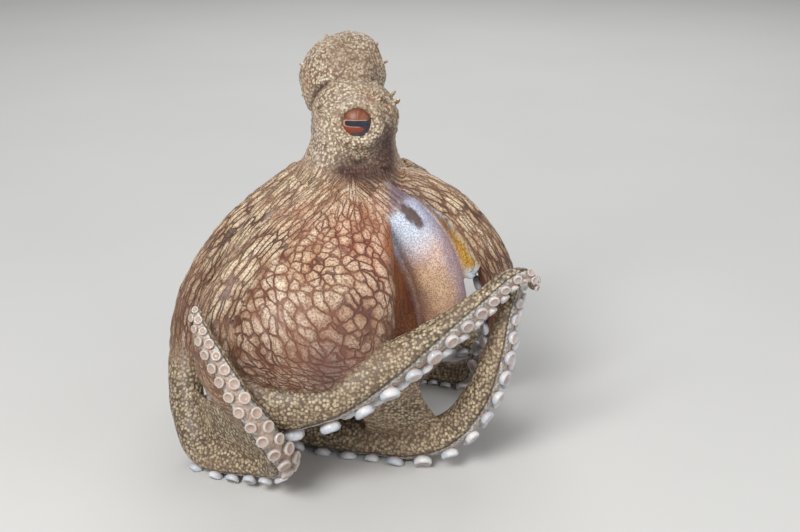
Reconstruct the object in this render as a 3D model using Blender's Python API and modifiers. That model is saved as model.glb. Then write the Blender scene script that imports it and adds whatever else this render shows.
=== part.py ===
"""A coconut octopus, life size, as a still museum model: head, mantle, eyes, funnel, eight arms and their webs."""

import math
import random

import bmesh
import bpy
import numpy as np

# Lengths below are in millimetres; MM turns them into metres where a mesh is made.
MM = 0.001
GAP = 0.3                       # clear space between neighbouring parts
SHIFT = (21.0, -3.0, 0.0)       # brings the middle of the whole animal over the frame's origin

# Driving sizes of the head and mantle
HEAD_MIDDLE = (-19.0, 1.0)      # the head's upright axis, x and y
EYE_RADIUS = 7.4
EYE_HEIGHT = 136.5
EYE_X = -17.0
EYE_REACH = 13.0                # from the head's middle plane out to each eyeball's centre
LID_RING = 7.9                  # middle radius of the ring of the lids
LID_THICK = 2.7
MANTLE_MIDDLE = (-23.8, 18.0, 147.6)
MANTLE_AXIS = (-0.30, 0.62, 0.72)
MANTLE_HALF = (16.6, 18.0, 14.6)  # across, along and through
MANTLE_SQUARE = 2.5             # 2 is an egg; more gives the bag flatter sides and a flatter top
MANTLE_LEAN = 0.2               # rise of the bag per length toward +X, which sinks its left shoulder

# Driving sizes of the arms and webs
ARM_SIDES = 8
RING_STEP = 8.0                 # distance between two rings of an arm
TIP_STEP = 5.0                  # the same where an arm is thin and curls
ORAL_FLAT = 0.72                # how far the sucker side stands off the middle, in arm radii
WEB_THICK = 1.7
WEB_STEPS = 8                   # steps of a web along its arms
WEB_ACROSS = 5                  # and from arm to arm
FRONT_ACROSS = 11               # the same in the big front web

# One row a control point: x, y, z, arm radius, and the way the suckers face there
ARMS = {
    "arm_right_1": (
        (-1, -9, 109, 7.5, -0.4, 0.2, -0.9), (10, -6, 104, 8.5, -0.5, 0.2, -0.8),
        (23, -5, 95, 8.5, -0.6, 0.3, -0.7), (34, -5, 81, 8.5, -0.8, 0.4, -0.4),
        (41, -1, 64, 8.0, -0.9, 0.4, -0.2), (43, 7, 46, 7.6, -0.9, 0.3, -0.3),
        (42, 17, 28, 7.2, -0.8, 0.2, -0.6), (37, 27, 13, 6.7, -0.4, 0.1, -0.9),
        (28, 34, 5.7, 6.0, 0.0, 0.0, -1.0), (14, 38, 4.7, 4.8, 0.0, 0.0, -1.0),
        (2, 34, 3.5, 3.4, 0.0, 0.0, -1.0), (-3, 26, 2.2, 2.0, 0.0, 0.0, -1.0)),
    "arm_right_2": (
        (-11, -19, 108, 7.5, 0.1, 0.4, -0.9), (-2, -21, 101, 9.0, -0.2, 0.6, -0.7),
        (7, -20, 90, 10.0, -0.4, 0.8, -0.4), (14, -19, 76, 10.4, -0.5, 0.9, -0.1),
        (17, -17, 61, 10.0, -0.6, 0.8, 0.0), (14, -12, 45, 9.4, -0.7, 0.7, 0.1),
        (5, -5, 29, 8.8, -0.7, 0.5, -0.4), (-7, 3, 15, 8.0, -0.4, 0.2, -0.9),
        (-20, 12, 6.6, 7.0, 0.0, 0.0, -1.0), (-32, 20, 5.4, 5.6, 0.0, 0.0, -1.0),
        (-44, 25, 4.0, 4.0, 0.0, 0.0, -1.0), (-54, 33, 2.4, 2.2, 0.0, 0.0, -1.0)),
    "arm_right_3": (
        (-27, -19, 109, 7.5, 0.2, 0.5, -0.9), (-40, -30, 99, 9.4, 0.4, 0.6, -0.6),
        (-55, -42, 87, 10.4, 0.5, 0.7, -0.4), (-67, -52, 69, 11.0, 0.5, 0.8, -0.2),
        (-66, -59, 50, 11.2, 0.4, 0.9, -0.2), (-50, -65, 39, 11.2, 0.2, 0.4, -0.9),
        (-27, -66, 41, 10.8, 0.2, 0.0, -1.0), (-4, -62, 52, 9.2, 0.4, -0.3, -0.9),
        (15, -56, 63, 7.0, 0.5, -0.6, -0.7), (32, -51, 75, 5.0, 0.5, -0.7, -0.5),
        (43, -49, 84, 3.6, 0.6, -0.7, -0.4), (50, -46, 83, 2.6, 0.8, -0.5, 0.2),
        (52, -44, 77, 1.8, 0.9, -0.3, 0.0)),
    "arm_right_4": (
        (-38, -11, 109, 7.5, 0.5, 0.2, -0.9), (-50, -15, 97, 8.8, 0.6, 0.2, -0.7),
        (-62, -19, 80, 9.4, 0.9, 0.2, -0.4), (-70, -22, 58, 9.6, 1.0, 0.2, -0.1),
        (-68, -22, 35, 9.6, 0.9, 0.2, -0.3), (-55, -21, 15, 9.5, 0.3, 0.0, -0.9),
        (-35, -23, 6.5, 9.4, 0.0, 0.0, -1.0), (-12, -30, 6.1, 9.0, 0.0, 0.0, -1.0),
        (7, -37, 7.8, 8.6, 0.2, -0.1, -1.0), (22, -42, 16, 8.0, 0.6, -0.2, -0.7),
        (33, -43, 32, 7.2, 0.9, -0.2, -0.4), (39, -43, 50, 6.2, 0.9, -0.3, -0.2),
        (42, -41, 65, 4.8, 0.9, -0.3, -0.1), (46, -37, 75, 3.4, 0.9, -0.3, 0.1),
        (48, -30, 79, 2.2, 0.9, 0.0, 0.4)),
    "arm_left_4": (
        (-39, 5, 109, 7.5, 0.5, -0.1, -0.9), (-54, 3, 97, 8.4, 0.6, 0.0, -0.7),
        (-70, 0, 82, 8.5, 0.8, 0.0, -0.5), (-84, -6, 60, 8.4, 1.0, 0.1, -0.2),
        (-88, -15, 40, 8.0, 0.9, 0.2, -0.4), (-87, -28, 21, 7.8, 0.6, 0.2, -0.7),
        (-80, -41, 6.8, 7.2, 0.1, 0.1, -1.0), (-66, -51, 6.4, 6.8, 0.0, 0.0, -1.0),
        (-51, -61, 10, 6.3, 0.6, -0.5, -0.6), (-45, -73, 19, 5.8, 0.8, -0.6, -0.2),
        (-49, -82, 32, 5.2, 0.5, -0.8, 0.1), (-57, -84, 47, 4.6, 0.0, -0.9, 0.3),
        (-65, -80, 60, 3.9, -0.3, -0.9, 0.3), (-72, -74, 71, 3.0, -0.4, -0.9, 0.3),
        (-76, -67, 79, 2.0, -0.5, -0.8, 0.3)),
    "arm_left_3": (
        (-29, 16, 109, 7.5, 0.3, -0.4, -0.9), (-43, 28, 99, 8.5, 0.4, -0.5, -0.7),
        (-56, 40, 80, 8.5, 0.6, -0.6, -0.4), (-66, 50, 54, 8.2, 0.7, -0.6, -0.2),
        (-73, 58, 28, 7.8, 0.6, -0.5, -0.6), (-77, 68, 10, 7.2, 0.2, -0.2, -1.0),
        (-72, 80, 5.9, 6.2, 0.0, 0.0, -1.0), (-60, 84, 4.9, 5.0, 0.0, 0.0, -1.0),
        (-50, 78, 3.6, 3.6, 0.0, 0.0, -1.0), (-48, 68, 2.2, 2.0, 0.0, 0.0, -1.0)),
    "arm_left_2": (
        (-13, 17, 109, 7.5, 0.0, -0.4, -0.9), (-16, 33, 98, 8.5, 0.0, -0.6, -0.8),
        (-19, 50, 76, 8.5, 0.0, -0.8, -0.5), (-22, 64, 50, 8.2, 0.0, -0.9, -0.3),
        (-24, 74, 26, 7.8, 0.0, -0.7, -0.7), (-20, 84, 9.6, 7.2, 0.0, -0.2, -1.0),
        (-8, 90, 5.9, 6.2, 0.0, 0.0, -1.0), (4, 86, 4.9, 5.0, 0.0, 0.0, -1.0),
        (8, 76, 3.6, 3.6, 0.0, 0.0, -1.0), (2, 68, 2.2, 2.0, 0.0, 0.0, -1.0)),
    "arm_left_1": (
        (-2, 7, 109, 7.5, -0.3, -0.2, -0.9), (8, 20, 98, 8.5, -0.4, -0.4, -0.8),
        (14, 35, 78, 8.5, -0.5, -0.7, -0.5), (17, 48, 53, 8.2, -0.5, -0.8, -0.3),
        (20, 59, 28, 7.8, -0.4, -0.6, -0.7), (26, 67, 10, 7.2, -0.1, -0.2, -1.0),
        (37, 72, 5.9, 6.2, 0.0, 0.0, -1.0), (47, 65, 4.9, 5.0, 0.0, 0.0, -1.0),
        (48, 54, 3.6, 3.6, 0.0, 0.0, -1.0), (41, 47, 2.2, 2.0, 0.0, 0.0, -1.0)),
}

# Where each arm is parted, in control points counted from its root, and how many suckers a row has
PARTED = {
    "arm_right_1": (3.5, 7.4), "arm_right_2": (3.6, 7.4), "arm_right_3": (3.5, 5.5, 8.4),
    "arm_right_4": (4.2, 7.6, 10.4), "arm_left_4": (4.4, 7.3, 9.6), "arm_left_3": (3.0, 5.6),
    "arm_left_2": (3.0, 5.6), "arm_left_1": (3.0, 5.6),
}
LENGTH_NAMES = {3: ("upper", "middle", "tip"), 4: ("upper", "bend", "lower", "tip")}
SUCKERS = {
    "arm_right_1": (1.6, 11, 8), "arm_right_2": (1.6, 11, 8), "arm_right_3": (2.0, 12.2, 16),
    "arm_right_4": (2.0, 14, 17), "arm_left_4": (2.0, 14, 15), "arm_left_3": (1.8, 9, 7),
    "arm_left_2": (1.8, 9, 7), "arm_left_1": (1.8, 9, 7),
}

# The big web in front: ribs between the third and the second right arm, from the crown down
FRONT_WEB = (
    ((-23, -21, 109), (-32, -36, 101), (-47, -54, 90), (-56, -66, 74), (-55, -72, 59), (-42, -73, 49),
     (-26, -71, 46), (-6, -62, 50)),
    ((-18, -22, 109), (-24, -38, 101), (-31, -56, 90), (-34, -69, 76), (-33, -74, 63), (-28, -74, 54),
     (-19, -71, 50), (-6, -61, 50)),
    ((-14, -22, 109), (-13, -35, 101), (-11, -50, 90), (-9, -58, 77), (-9, -62, 66), (-9, -63, 58),
     (-8, -62, 53), (-5, -59, 51)),
    ((-9, -21, 108), (-5, -32, 100), (-3.5, -42, 90), (-3, -48, 78), (-3.5, -52, 67), (-4, -54, 60),
     (-4, -55, 54), (-4, -57, 51)),
    ((-9, -19, 107), (-6, -26, 99), (-5, -31, 89), (-5, -35, 78), (-5.5, -37, 67), (-6, -39, 58),
     (-6, -43, 52), (-4, -51, 49)),
)

# Rings of the head and the arm crown, from the mouth up: height, middle x, middle y, half width, half depth
HEAD_RINGS = (
    (100.5, -20.0, -3.0, 9.0, 9.0), (101.5, -20.0, -3.0, 15.0, 14.5), (104.0, -20.0, -3.0, 20.0, 19.5),
    (108.0, -20.0, -2.5, 23.5, 22.5), (112.0, -20.0, -2.0, 23.5, 22.0), (116.0, -20.0, -1.0, 21.0, 19.5),
    (121.0, -19.5, 0.0, 18.5, 17.0), (126.0, -19.0, 0.5, 17.2, 15.6), (131.0, -18.5, 1.0, 17.2, 15.0),
    (136.5, -18.0, 1.0, 17.4, 14.6), (141.5, -18.5, 1.0, 16.2, 14.0), (145.5, -19.0, 1.5, 13.6, 12.4),
    (148.8, -19.5, 2.0, 9.6, 9.2), (150.6, -20.0, 2.0, 4.5, 4.5),
)
# Skin papillae of the head: foot, the way it points, height and foot radius
HEAD_PAPILLAE = (
    ((-4, -5, 141), (0.8, -0.4, 0.6), 5.5, 2.0), ((-8, -8, 144), (0.4, -0.5, 0.8), 4.4, 1.8),
    ((-17, -15.0, 122), (0.0, -0.9, 0.4), 4.6, 2.6), ((-7, -13.5, 119), (0.3, -0.9, 0.1), 3.6, 2.4),
    ((-31, -8, 141), (-0.7, -0.5, 0.5), 3.6, 1.8), ((-5, 9, 141), (0.8, 0.5, 0.5), 5.0, 1.8),
    ((-17, 16.0, 123), (0.0, 0.9, 0.4), 4.0, 2.4), ((-29, -12, 127), (-0.6, -0.7, 0.1), 2.8, 1.7),
)
# Those of the mantle: direction from its middle, height and foot radius
MANTLE_PAPILLAE = (
    (0.2, -0.15, 1.0, 3.4, 1.8), (0.0, -0.3, 1.0, 2.8, 1.7), (-0.85, -0.2, 0.3, 3.8, 1.3),
    (0.9, -0.2, 0.35, 4.2, 1.6), (-0.35, -0.75, 0.6, 2.2, 1.6), (-0.4, 0.5, 0.9, 3.6, 1.7),
    (0.8, 0.4, 0.7, 3.4, 1.6), (-1.0, 0.4, 0.1, 3.2, 1.6), (0.3, -0.8, 0.7, 2.0, 1.5),
)
FUNNEL_ROOT = (-26.0, 12.0, 128.0)
FUNNEL_END = (-35.0, 31.0, 122.0)
FUNNEL_RADII = (6.0, 5.0, 3.6)
WEB_OUT = (-20.0, 0.0)          # the upright line that the webs bulge away from
WEB_CORNER = (27.5, -18.0, 72.0)  # the pointed corner of the small web between the first two right arms
LIPS = (-20.0, -3.0, 100.6)     # middle of the ring of lips round the beak
BEAK = (-20.0, -3.0, 101.0)
BEAK_HALF = np.array([3.4, 3.4, 4.2])


def smooth(rows, count):
    """Catmull-Rom curve through the rows, read at count points evenly spaced by length."""
    rows = np.asarray(rows, float)
    ends = np.vstack([2 * rows[0] - rows[1], rows, 2 * rows[-1] - rows[-2]])
    fine = []
    for i in range(len(rows) - 1):
        a, b, c, d = ends[i:i + 4]
        t = np.linspace(0, 1, 16, endpoint=False)[:, None]
        fine.append(0.5 * (2 * b + (c - a) * t + (2 * a - 5 * b + 4 * c - d) * t ** 2
                           + (3 * b - a - 3 * c + d) * t ** 3))
    fine = np.vstack(fine + [rows[-1:]])
    run = np.concatenate([[0], np.cumsum(np.linalg.norm(np.diff(fine[:, :3], axis=0), axis=1))])
    if count is None:
        return fine, run
    at = np.linspace(0, run[-1], count)
    return np.stack([np.interp(at, run, fine[:, k]) for k in range(fine.shape[1])], 1)


def unit(v):
    """The vectors of an array, each divided by its length."""
    return v / np.maximum(np.linalg.norm(v, axis=-1, keepdims=True), 1e-9)


class Arm:
    """Centre line, radius and facing of one arm, read at any distance from its root."""

    def __init__(self, name):
        self.name = name
        self.fine, self.run = smooth(ARMS[name], None)
        self.length = self.run[-1]

    def knot(self, k):
        """Distance from the root to control point k, which may lie between two of them."""
        return float(np.interp(k * 16, np.arange(len(self.run)), self.run))

    def at(self, s):
        """Points, radii, tangents, sucker directions and side directions at the distances s."""
        s = np.atleast_1d(np.asarray(s, float))
        rows = np.stack([np.interp(s, self.run, self.fine[:, k]) for k in range(7)], 1)
        ahead = np.stack([np.interp(s + 1.5, self.run, self.fine[:, k]) for k in range(3)], 1)
        behind = np.stack([np.interp(s - 1.5, self.run, self.fine[:, k]) for k in range(3)], 1)
        along = unit(ahead - behind)
        oral = rows[:, 4:7]
        oral = unit(oral - along * np.sum(oral * along, 1, keepdims=True))
        return rows[:, :3], rows[:, 3], along, oral, np.cross(along, oral)


def collection(name):
    """A new collection of the scene."""
    made = bpy.data.collections.new(name)
    bpy.context.scene.collection.children.link(made)
    return made


def mesh_object(name, points, faces, where):
    """A mesh object from points in millimetres."""
    mesh = bpy.data.meshes.new(name)
    mesh.from_pydata([tuple((p[k] + SHIFT[k]) * MM for k in range(3)) for p in points], [], faces)
    outward(mesh)
    made = bpy.data.objects.new(name, mesh)
    where.objects.link(made)
    return made


def outward(mesh):
    """Turns every face of a closed mesh to look outward."""
    edit = bmesh.new()
    edit.from_mesh(mesh)
    bmesh.ops.recalc_face_normals(edit, faces=edit.faces)
    edit.to_mesh(mesh)
    edit.free()


def rings_object(name, rings, where):
    """A closed tube through rings of equal size, both ends filled."""
    sides = len(rings[0])
    faces = [tuple(reversed(range(sides)))]
    for i in range(len(rings) - 1):
        a, b = i * sides, (i + 1) * sides
        faces += [(a + j, a + (j + 1) % sides, b + (j + 1) % sides, b + j) for j in range(sides)]
    last = (len(rings) - 1) * sides
    faces.append(tuple(range(last, last + sides)))
    return mesh_object(name, np.concatenate(rings), faces, where)


def arm_rings(arm, s_from, s_to, step, grow=0.0, sides=ARM_SIDES):
    """Rings of an arm between two distances: round on the back, flatter on the sucker side."""
    count = max(3, int(round((s_to - s_from) / step)) + 1)
    middle, radius, along, oral, side = arm.at(np.linspace(s_from, s_to, count))
    turn = (np.arange(sides) + 0.5) * 2 * np.pi / sides
    rings = []
    for i in range(count):
        r = radius[i] + grow
        depth = np.where(np.cos(turn) > 0, ORAL_FLAT * radius[i] + grow, r) / np.cos(np.pi / sides)
        rings.append(middle[i] + side[i] * (r * np.sin(turn))[:, None] + oral[i] * (depth * np.cos(turn))[:, None])
    return rings


def sucker_room_rings(arm, s_from, s_to):
    """Rings of the space that the suckers take up along an arm."""
    middle, radius, along, oral, side = arm.at(np.linspace(s_from, s_to, int((s_to - s_from) / 6) + 2))
    turn = (np.arange(8) + 0.5) * np.pi / 4
    size = sucker_radius(radius)
    return [middle[i] + oral[i] * 0.68 * radius[i]
            + side[i] * ((0.5 * radius[i] + 1.75 * size[i]) * np.sin(turn))[:, None]
            + oral[i] * ((1.6 * size[i] + GAP) * np.cos(turn))[:, None] for i in range(len(radius))]


def with_ends(rings, reach):
    """The rings of a tube with both end rings moved outward along it."""
    first, second, before, last = (rings[i].mean(0) for i in (0, 1, -2, -1))
    rings[0] = rings[0] + unit(first - second) * reach
    rings[-1] = rings[-1] + unit(last - before) * reach
    return rings


def sucker(name, base, axis, radius, where, turn):
    """One sucker: a stalk sunk into the arm that flares to the rim of a dished cup."""
    axis = unit(np.asarray(axis, float))
    flat = unit(np.cross(axis, (0.31, 0.77, 0.55)))
    other = np.cross(axis, flat)
    angle = turn + np.arange(6) * np.pi / 3
    ring = np.cos(angle)[:, None] * flat + np.sin(angle)[:, None] * other
    points = np.vstack([
        base - axis * radius * 0.9 + ring * radius * 0.55,
        base + axis * radius * 0.75 + ring * radius,
        (base + axis * radius * 0.3)[None]])
    faces = [(5, 4, 3, 2, 1, 0)]
    for j in range(6):
        k = (j + 1) % 6
        faces += [(j, k, 6 + k, 6 + j), (6 + j, 6 + k, 12)]
    return mesh_object(name, points, faces, where)


def sucker_radius(arm_radius):
    """Radius of a sucker on an arm of this radius."""
    return 0.9 + 0.27 * arm_radius


def arm_suckers(arm, s_from, s_to, where):
    """Two staggered rows of suckers on the stretch of an arm between two distances."""
    first, last, count = SUCKERS[arm.name]
    rng = random.Random(arm.name)
    ends = (arm.knot(first), arm.knot(min(last, len(ARMS[arm.name]) - 1)) - 2.5)
    ease = np.linspace(0, 1, 2 * count)
    places = ends[0] + (ends[1] - ends[0]) * (1 - (1 - ease) ** 1.15)
    for i, s in enumerate(places):
        size_draw, turn = rng.uniform(0.92, 1.08), rng.uniform(0, 1)
        middle, radius, along, oral, side = (v[0] for v in arm.at(s))
        size = sucker_radius(radius) * size_draw
        if s < s_from + size + 0.6 or s > s_to - size - 0.6:
            continue
        hand = 1 if i % 2 else -1
        base = middle + oral * ORAL_FLAT * radius * 0.94 + side * hand * 0.5 * radius
        sucker("sucker", base, oral + side * hand * 0.28, size, where, turn)


def united(name, pieces, solver="MANIFOLD"):
    """The pieces of a collection joined to one mesh by one union; the collection's objects are removed."""
    first = pieces.objects[0]
    pieces.objects.unlink(first)
    bpy.context.scene.collection.objects.link(first)
    if len(pieces.objects):
        join = first.modifiers.new("union", "BOOLEAN")
        join.operation = "UNION"
        join.solver = solver
        join.operand_type = "COLLECTION"
        join.collection = pieces
    mesh = bpy.data.meshes.new_from_object(first.evaluated_get(bpy.context.evaluated_depsgraph_get()))
    for old in [first] + list(pieces.objects):
        bpy.data.objects.remove(old)
    bpy.data.collections.remove(pieces)
    made = bpy.data.objects.new(name, mesh)
    bpy.context.scene.collection.objects.link(made)
    keep_largest(made)
    return made


def cut(target, cutters, solver="MANIFOLD"):
    """Takes the cutters out of the target, and keeps the target's largest closed surface."""
    for cutter in cutters:
        taken = target.modifiers.new("cut", "BOOLEAN")
        taken.operation = "DIFFERENCE"
        taken.solver = solver
        taken.object = cutter
        mesh = bpy.data.meshes.new_from_object(target.evaluated_get(bpy.context.evaluated_depsgraph_get()))
        target.modifiers.clear()
        target.data = mesh
    keep_largest(target)


def grown(target, by, where):
    """A copy of a node with its surface moved outward."""
    mesh = target.data.copy()
    normals = [v.normal.copy() for v in mesh.vertices]
    for vertex, normal in zip(mesh.vertices, normals):
        vertex.co += normal * by * MM
    made = bpy.data.objects.new(target.name + "_room", mesh)
    where.objects.link(made)
    return made


def keep_largest(target):
    """Removes every closed surface of a mesh but the largest."""
    mesh = target.data
    count = len(mesh.vertices)
    parent = list(range(count))

    def root(i):
        while parent[i] != i:
            parent[i] = parent[parent[i]]
            i = parent[i]
        return i

    for edge in mesh.edges:
        a, b = root(edge.vertices[0]), root(edge.vertices[1])
        if a != b:
            parent[a] = b
    roots = np.array([root(i) for i in range(count)])
    names, sizes = np.unique(roots, return_counts=True)
    if len(names) < 2:
        return
    keep = names[np.argmax([spread(mesh, roots == n) for n in names])]
    edit = bmesh.new()
    edit.from_mesh(mesh)
    edit.verts.ensure_lookup_table()
    bmesh.ops.delete(edit, geom=[v for v in edit.verts if roots[v.index] != keep], context="VERTS")
    edit.to_mesh(mesh)
    edit.free()


def spread(mesh, chosen):
    """Diagonal of the box round the chosen vertices."""
    points = np.empty(len(mesh.vertices) * 3)
    mesh.vertices.foreach_get("co", points)
    points = points.reshape(-1, 3)[chosen]
    return float(np.linalg.norm(points.max(0) - points.min(0)))


def finished(target, where, colour, roughness):
    """Puts a finished node into the octopus's collection with a material of its own."""
    material = bpy.data.materials.new(target.name)
    material.use_nodes = True
    shader = material.node_tree.nodes["Principled BSDF"]
    shader.inputs["Base Color"].default_value = (*colour, 1)
    shader.inputs["Roughness"].default_value = roughness
    target.data.materials.clear()
    target.data.materials.append(material)
    for old in list(target.users_collection):
        old.objects.unlink(target)
    where.objects.link(target)


def head_rings(grow=0.0):
    """Rings of the head and crown, swollen at both eyes."""
    turn = np.arange(24) * 2 * np.pi / 24
    rings = []
    for z, x, y, half_x, half_y in HEAD_RINGS:
        ring = np.stack([x + (half_x + grow) * np.cos(turn), y + (half_y + grow) * np.sin(turn),
                         np.full(24, z)], 1)
        near = np.exp(-((ring[:, 0] - EYE_X) / 8.0) ** 2 - ((z - EYE_HEIGHT) / 7.0) ** 2)
        ring[:, 1] += np.sign(ring[:, 1] - y) * 2.2 * near
        rings.append(ring)
    rings[0][:, 2] -= grow
    rings[-1][:, 2] += grow
    return rings


def ball(name, middle, axes, half, where, parts=(24, 14), bumps=0.0, square=2.0):
    """A sphere stretched to the half sizes along three axes, made squarer and a little uneven if asked."""
    edit = bmesh.new()
    bmesh.ops.create_uvsphere(edit, u_segments=parts[0], v_segments=parts[1], radius=1)
    mesh = bpy.data.meshes.new(name)
    edit.to_mesh(mesh)
    edit.free()
    points = np.empty(len(mesh.vertices) * 3)
    mesh.vertices.foreach_get("co", points)
    points = points.reshape(-1, 3)
    points /= (np.abs(points) ** square).sum(1, keepdims=True) ** (1 / square)
    swell = 1 + bumps * (np.sin(5.1 * points[:, 0] + 1) * np.sin(4.3 * points[:, 1]) * np.cos(3.7 * points[:, 2]))
    points = (points * np.asarray(half) * swell[:, None]) @ np.asarray(axes) + np.asarray(middle)
    mesh.vertices.foreach_set("co", ((points + SHIFT) * MM).ravel())
    made = bpy.data.objects.new(name, mesh)
    where.objects.link(made)
    return made


def axes_along(direction):
    """Three axes at right angles, the second along the direction."""
    along = unit(np.asarray(direction, float))
    across = unit(np.cross(along, (0.0, 0.0, 1.0)))
    return np.stack([across, along, np.cross(across, along)])


def bag(name, grow, where):
    """The mantle's bag, leaning and a little uneven, enlarged by a distance."""
    return ball(name, MANTLE_MIDDLE, mantle_axes, np.array(MANTLE_HALF) + grow, where, (20, 12), 0.035,
                MANTLE_SQUARE)


def papilla(foot, direction, height, radius, where):
    """A blunt pointed skin papilla, sunk into the surface that it stands on."""
    axes = axes_along(np.asarray(direction, float) + (0.001, 0.002, 0.0))
    rings = []
    for part, width in ((-0.5, 1.0), (0.25, 0.9), (0.7, 0.55), (1.0, 0.2)):
        turn = np.arange(6) * np.pi / 3
        rings.append(np.asarray(foot) + axes[1] * height * part + radius * width
                     * (np.cos(turn)[:, None] * axes[2] + np.sin(turn)[:, None] * axes[0]))
    rings_object("papilla", rings, where)


def ring_band(middle, axis, radius, thick, where, sides=(16, 6)):
    """A closed ring of round section about an axis, such as a lid or a lip."""
    axes = axes_along(axis)
    around = np.arange(sides[0]) * 2 * np.pi / sides[0]
    section = np.arange(sides[1]) * 2 * np.pi / sides[1]
    out = np.cos(around)[:, None] * axes[0] + np.sin(around)[:, None] * axes[2]
    points = (np.asarray(middle) + out[:, None] * (radius + thick * np.cos(section))[None, :, None]
              + axes[1] * (thick * np.sin(section))[None, :, None]).reshape(-1, 3)
    faces = []
    for i in range(sides[0]):
        a, b = i * sides[1], (i + 1) % sides[0] * sides[1]
        faces += [(a + j, b + j, b + (j + 1) % sides[1], a + (j + 1) % sides[1]) for j in range(sides[1])]
    return mesh_object("ring", points, faces, where)


def eye_middle(side):
    """Centre of the right eye, toward -Y, for side -1, and of the left eye for side 1."""
    return np.array([EYE_X, HEAD_MIDDLE[1] + side * EYE_REACH, EYE_HEIGHT])


def web_sheet(name, ribs, where, steps=WEB_ACROSS):
    """A web: a sheet through its ribs, given thickness."""
    runs = np.stack([smooth(rib, WEB_STEPS + 1) for rib in ribs])
    across = []
    for i in range(WEB_STEPS + 1):
        row = np.vstack([2 * runs[0, i] - runs[1, i], runs[:, i], 2 * runs[-1, i] - runs[-2, i]])
        spans = len(runs) - 1
        at = np.linspace(0, spans, steps + 1)
        k = np.minimum(at.astype(int), spans - 1)
        t = (at - k)[:, None]
        a, b, c, d = row[k], row[k + 1], row[k + 2], row[k + 3]
        across.append(0.5 * (2 * b + (c - a) * t + (2 * a - 5 * b + 4 * c - d) * t ** 2
                             + (3 * b - a - 3 * c + d) * t ** 3))
    grid = np.array(across)
    wide = steps + 1
    faces = [(i * wide + j, i * wide + j + 1, (i + 1) * wide + j + 1, (i + 1) * wide + j)
             for i in range(WEB_STEPS) for j in range(steps)]
    sheet = mesh_object(name, grid.reshape(-1, 3), faces, where)
    thick = sheet.modifiers.new("thickness", "SOLIDIFY")
    thick.thickness = WEB_THICK * MM
    thick.offset = 0
    mesh = bpy.data.meshes.new_from_object(sheet.evaluated_get(bpy.context.evaluated_depsgraph_get()))
    sheet.modifiers.clear()
    sheet.data = mesh
    return sheet


def plain_ribs(arm_a, reach_a, arm_b, reach_b, bulge, recess):
    """Ribs of a plain web from arm to arm: its margin curves in between them and it bulges outward."""
    u = np.linspace(0, 1, 8)
    ribs = []
    for t in (0, 0.33, 0.67, 1):
        short = 1 - recess * math.sin(math.pi * t)
        a = arm_a.at(2 + u * short * (reach_a - 2))[0]
        b = arm_b.at(2 + u * short * (reach_b - 2))[0]
        rib = a * (1 - t) + b * t
        out = rib - np.array([*WEB_OUT, 0])
        out[:, 2] = 0
        rib += unit(out) * (bulge * math.sin(math.pi * t) * np.sin(np.pi * 0.75 * u))[:, None]
        ribs.append(rib)
    return ribs


def fold_ribs(arm_a, knots_a, arm_b, knots_b):
    """Ribs of a small fold of web between two stretches of arm, drawn in at both margins."""
    ribs = []
    for t in (0, 0.33, 0.67, 1):
        u = 0.5 + np.linspace(-0.5, 0.5, 8) * (1 - 0.35 * math.sin(math.pi * t))
        a = arm_a.at(arm_a.knot(knots_a[0]) * (1 - u) + arm_a.knot(knots_a[1]) * u)[0]
        b = arm_b.at(arm_b.knot(knots_b[0]) * (1 - u) + arm_b.knot(knots_b[1]) * u)[0]
        ribs.append(a * (1 - t) + b * t)
    return ribs


for old in list(bpy.data.objects):
    bpy.data.objects.remove(old)

octopus = collection("coconut_octopus")
arms = {name: Arm(name) for name in ARMS}
mantle_axes = axes_along(MANTLE_AXIS) @ np.array([[1, 0, MANTLE_LEAN], [0, 1, 0], [0, 0, 1]])

# Head: skull form and arm crown, lids round both eyes, papillae and the lips
pieces = collection("pieces")
rings_object("skull", head_rings(), pieces)
for side in (-1, 1):
    lid_middle = eye_middle(side) + np.array([0.0, side * 3.6, 0.2])
    ring_band(lid_middle, (0.05, side * 1.0, 0.12), LID_RING, LID_THICK, pieces)
for row in HEAD_PAPILLAE:
    papilla(*row, pieces)
ring_band(LIPS, (0.001, 0.002, 1.0), 5.2, 1.6, pieces, (12, 5))
head = united("head", pieces)
sockets = collection("cutters")
hollows = [ball("socket", eye_middle(side), np.eye(3), [EYE_RADIUS + GAP] * 3, sockets, (14, 9))
           for side in (-1, 1)]
hollows.append(ball("beak_space", BEAK, np.eye(3), BEAK_HALF + GAP, sockets, (8, 6)))
cut(head, hollows)
finished(head, octopus, (0.52, 0.38, 0.28), 0.6)

for side, name in ((-1, "eye_right"), (1, "eye_left")):
    eye = ball(name, eye_middle(side), np.eye(3), [EYE_RADIUS] * 3, sockets, (14, 9))
    finished(eye, octopus, (0.45, 0.12, 0.03), 0.2)
beak = ball("beak", BEAK, np.eye(3), BEAK_HALF, sockets, (8, 6))
finished(beak, octopus, (0.05, 0.03, 0.02), 0.35)

# Mantle: the bag behind the head, its front hollowed to sit against the head
pieces = collection("pieces")
bag("bag", 0.0, pieces)
for *way, height, radius in MANTLE_PAPILLAE:
    way = unit(np.array(way))
    reach = 1 / np.linalg.norm(way @ np.linalg.inv(mantle_axes) / np.array(MANTLE_HALF))
    papilla(np.array(MANTLE_MIDDLE) + way * reach * 0.97, way, height, radius, pieces)
mantle = united("mantle", pieces)
head_room = rings_object("head_room", head_rings(GAP), sockets)
cut(mantle, [grown(head, 0.45, sockets)])
eye_rooms = [ball("eye_room", eye_middle(side), np.eye(3), [EYE_RADIUS + 2 * GAP] * 3, sockets, (14, 9))
             for side in (-1, 1)]
cut(mantle, eye_rooms)
finished(mantle, octopus, (0.55, 0.42, 0.30), 0.65)

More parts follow.
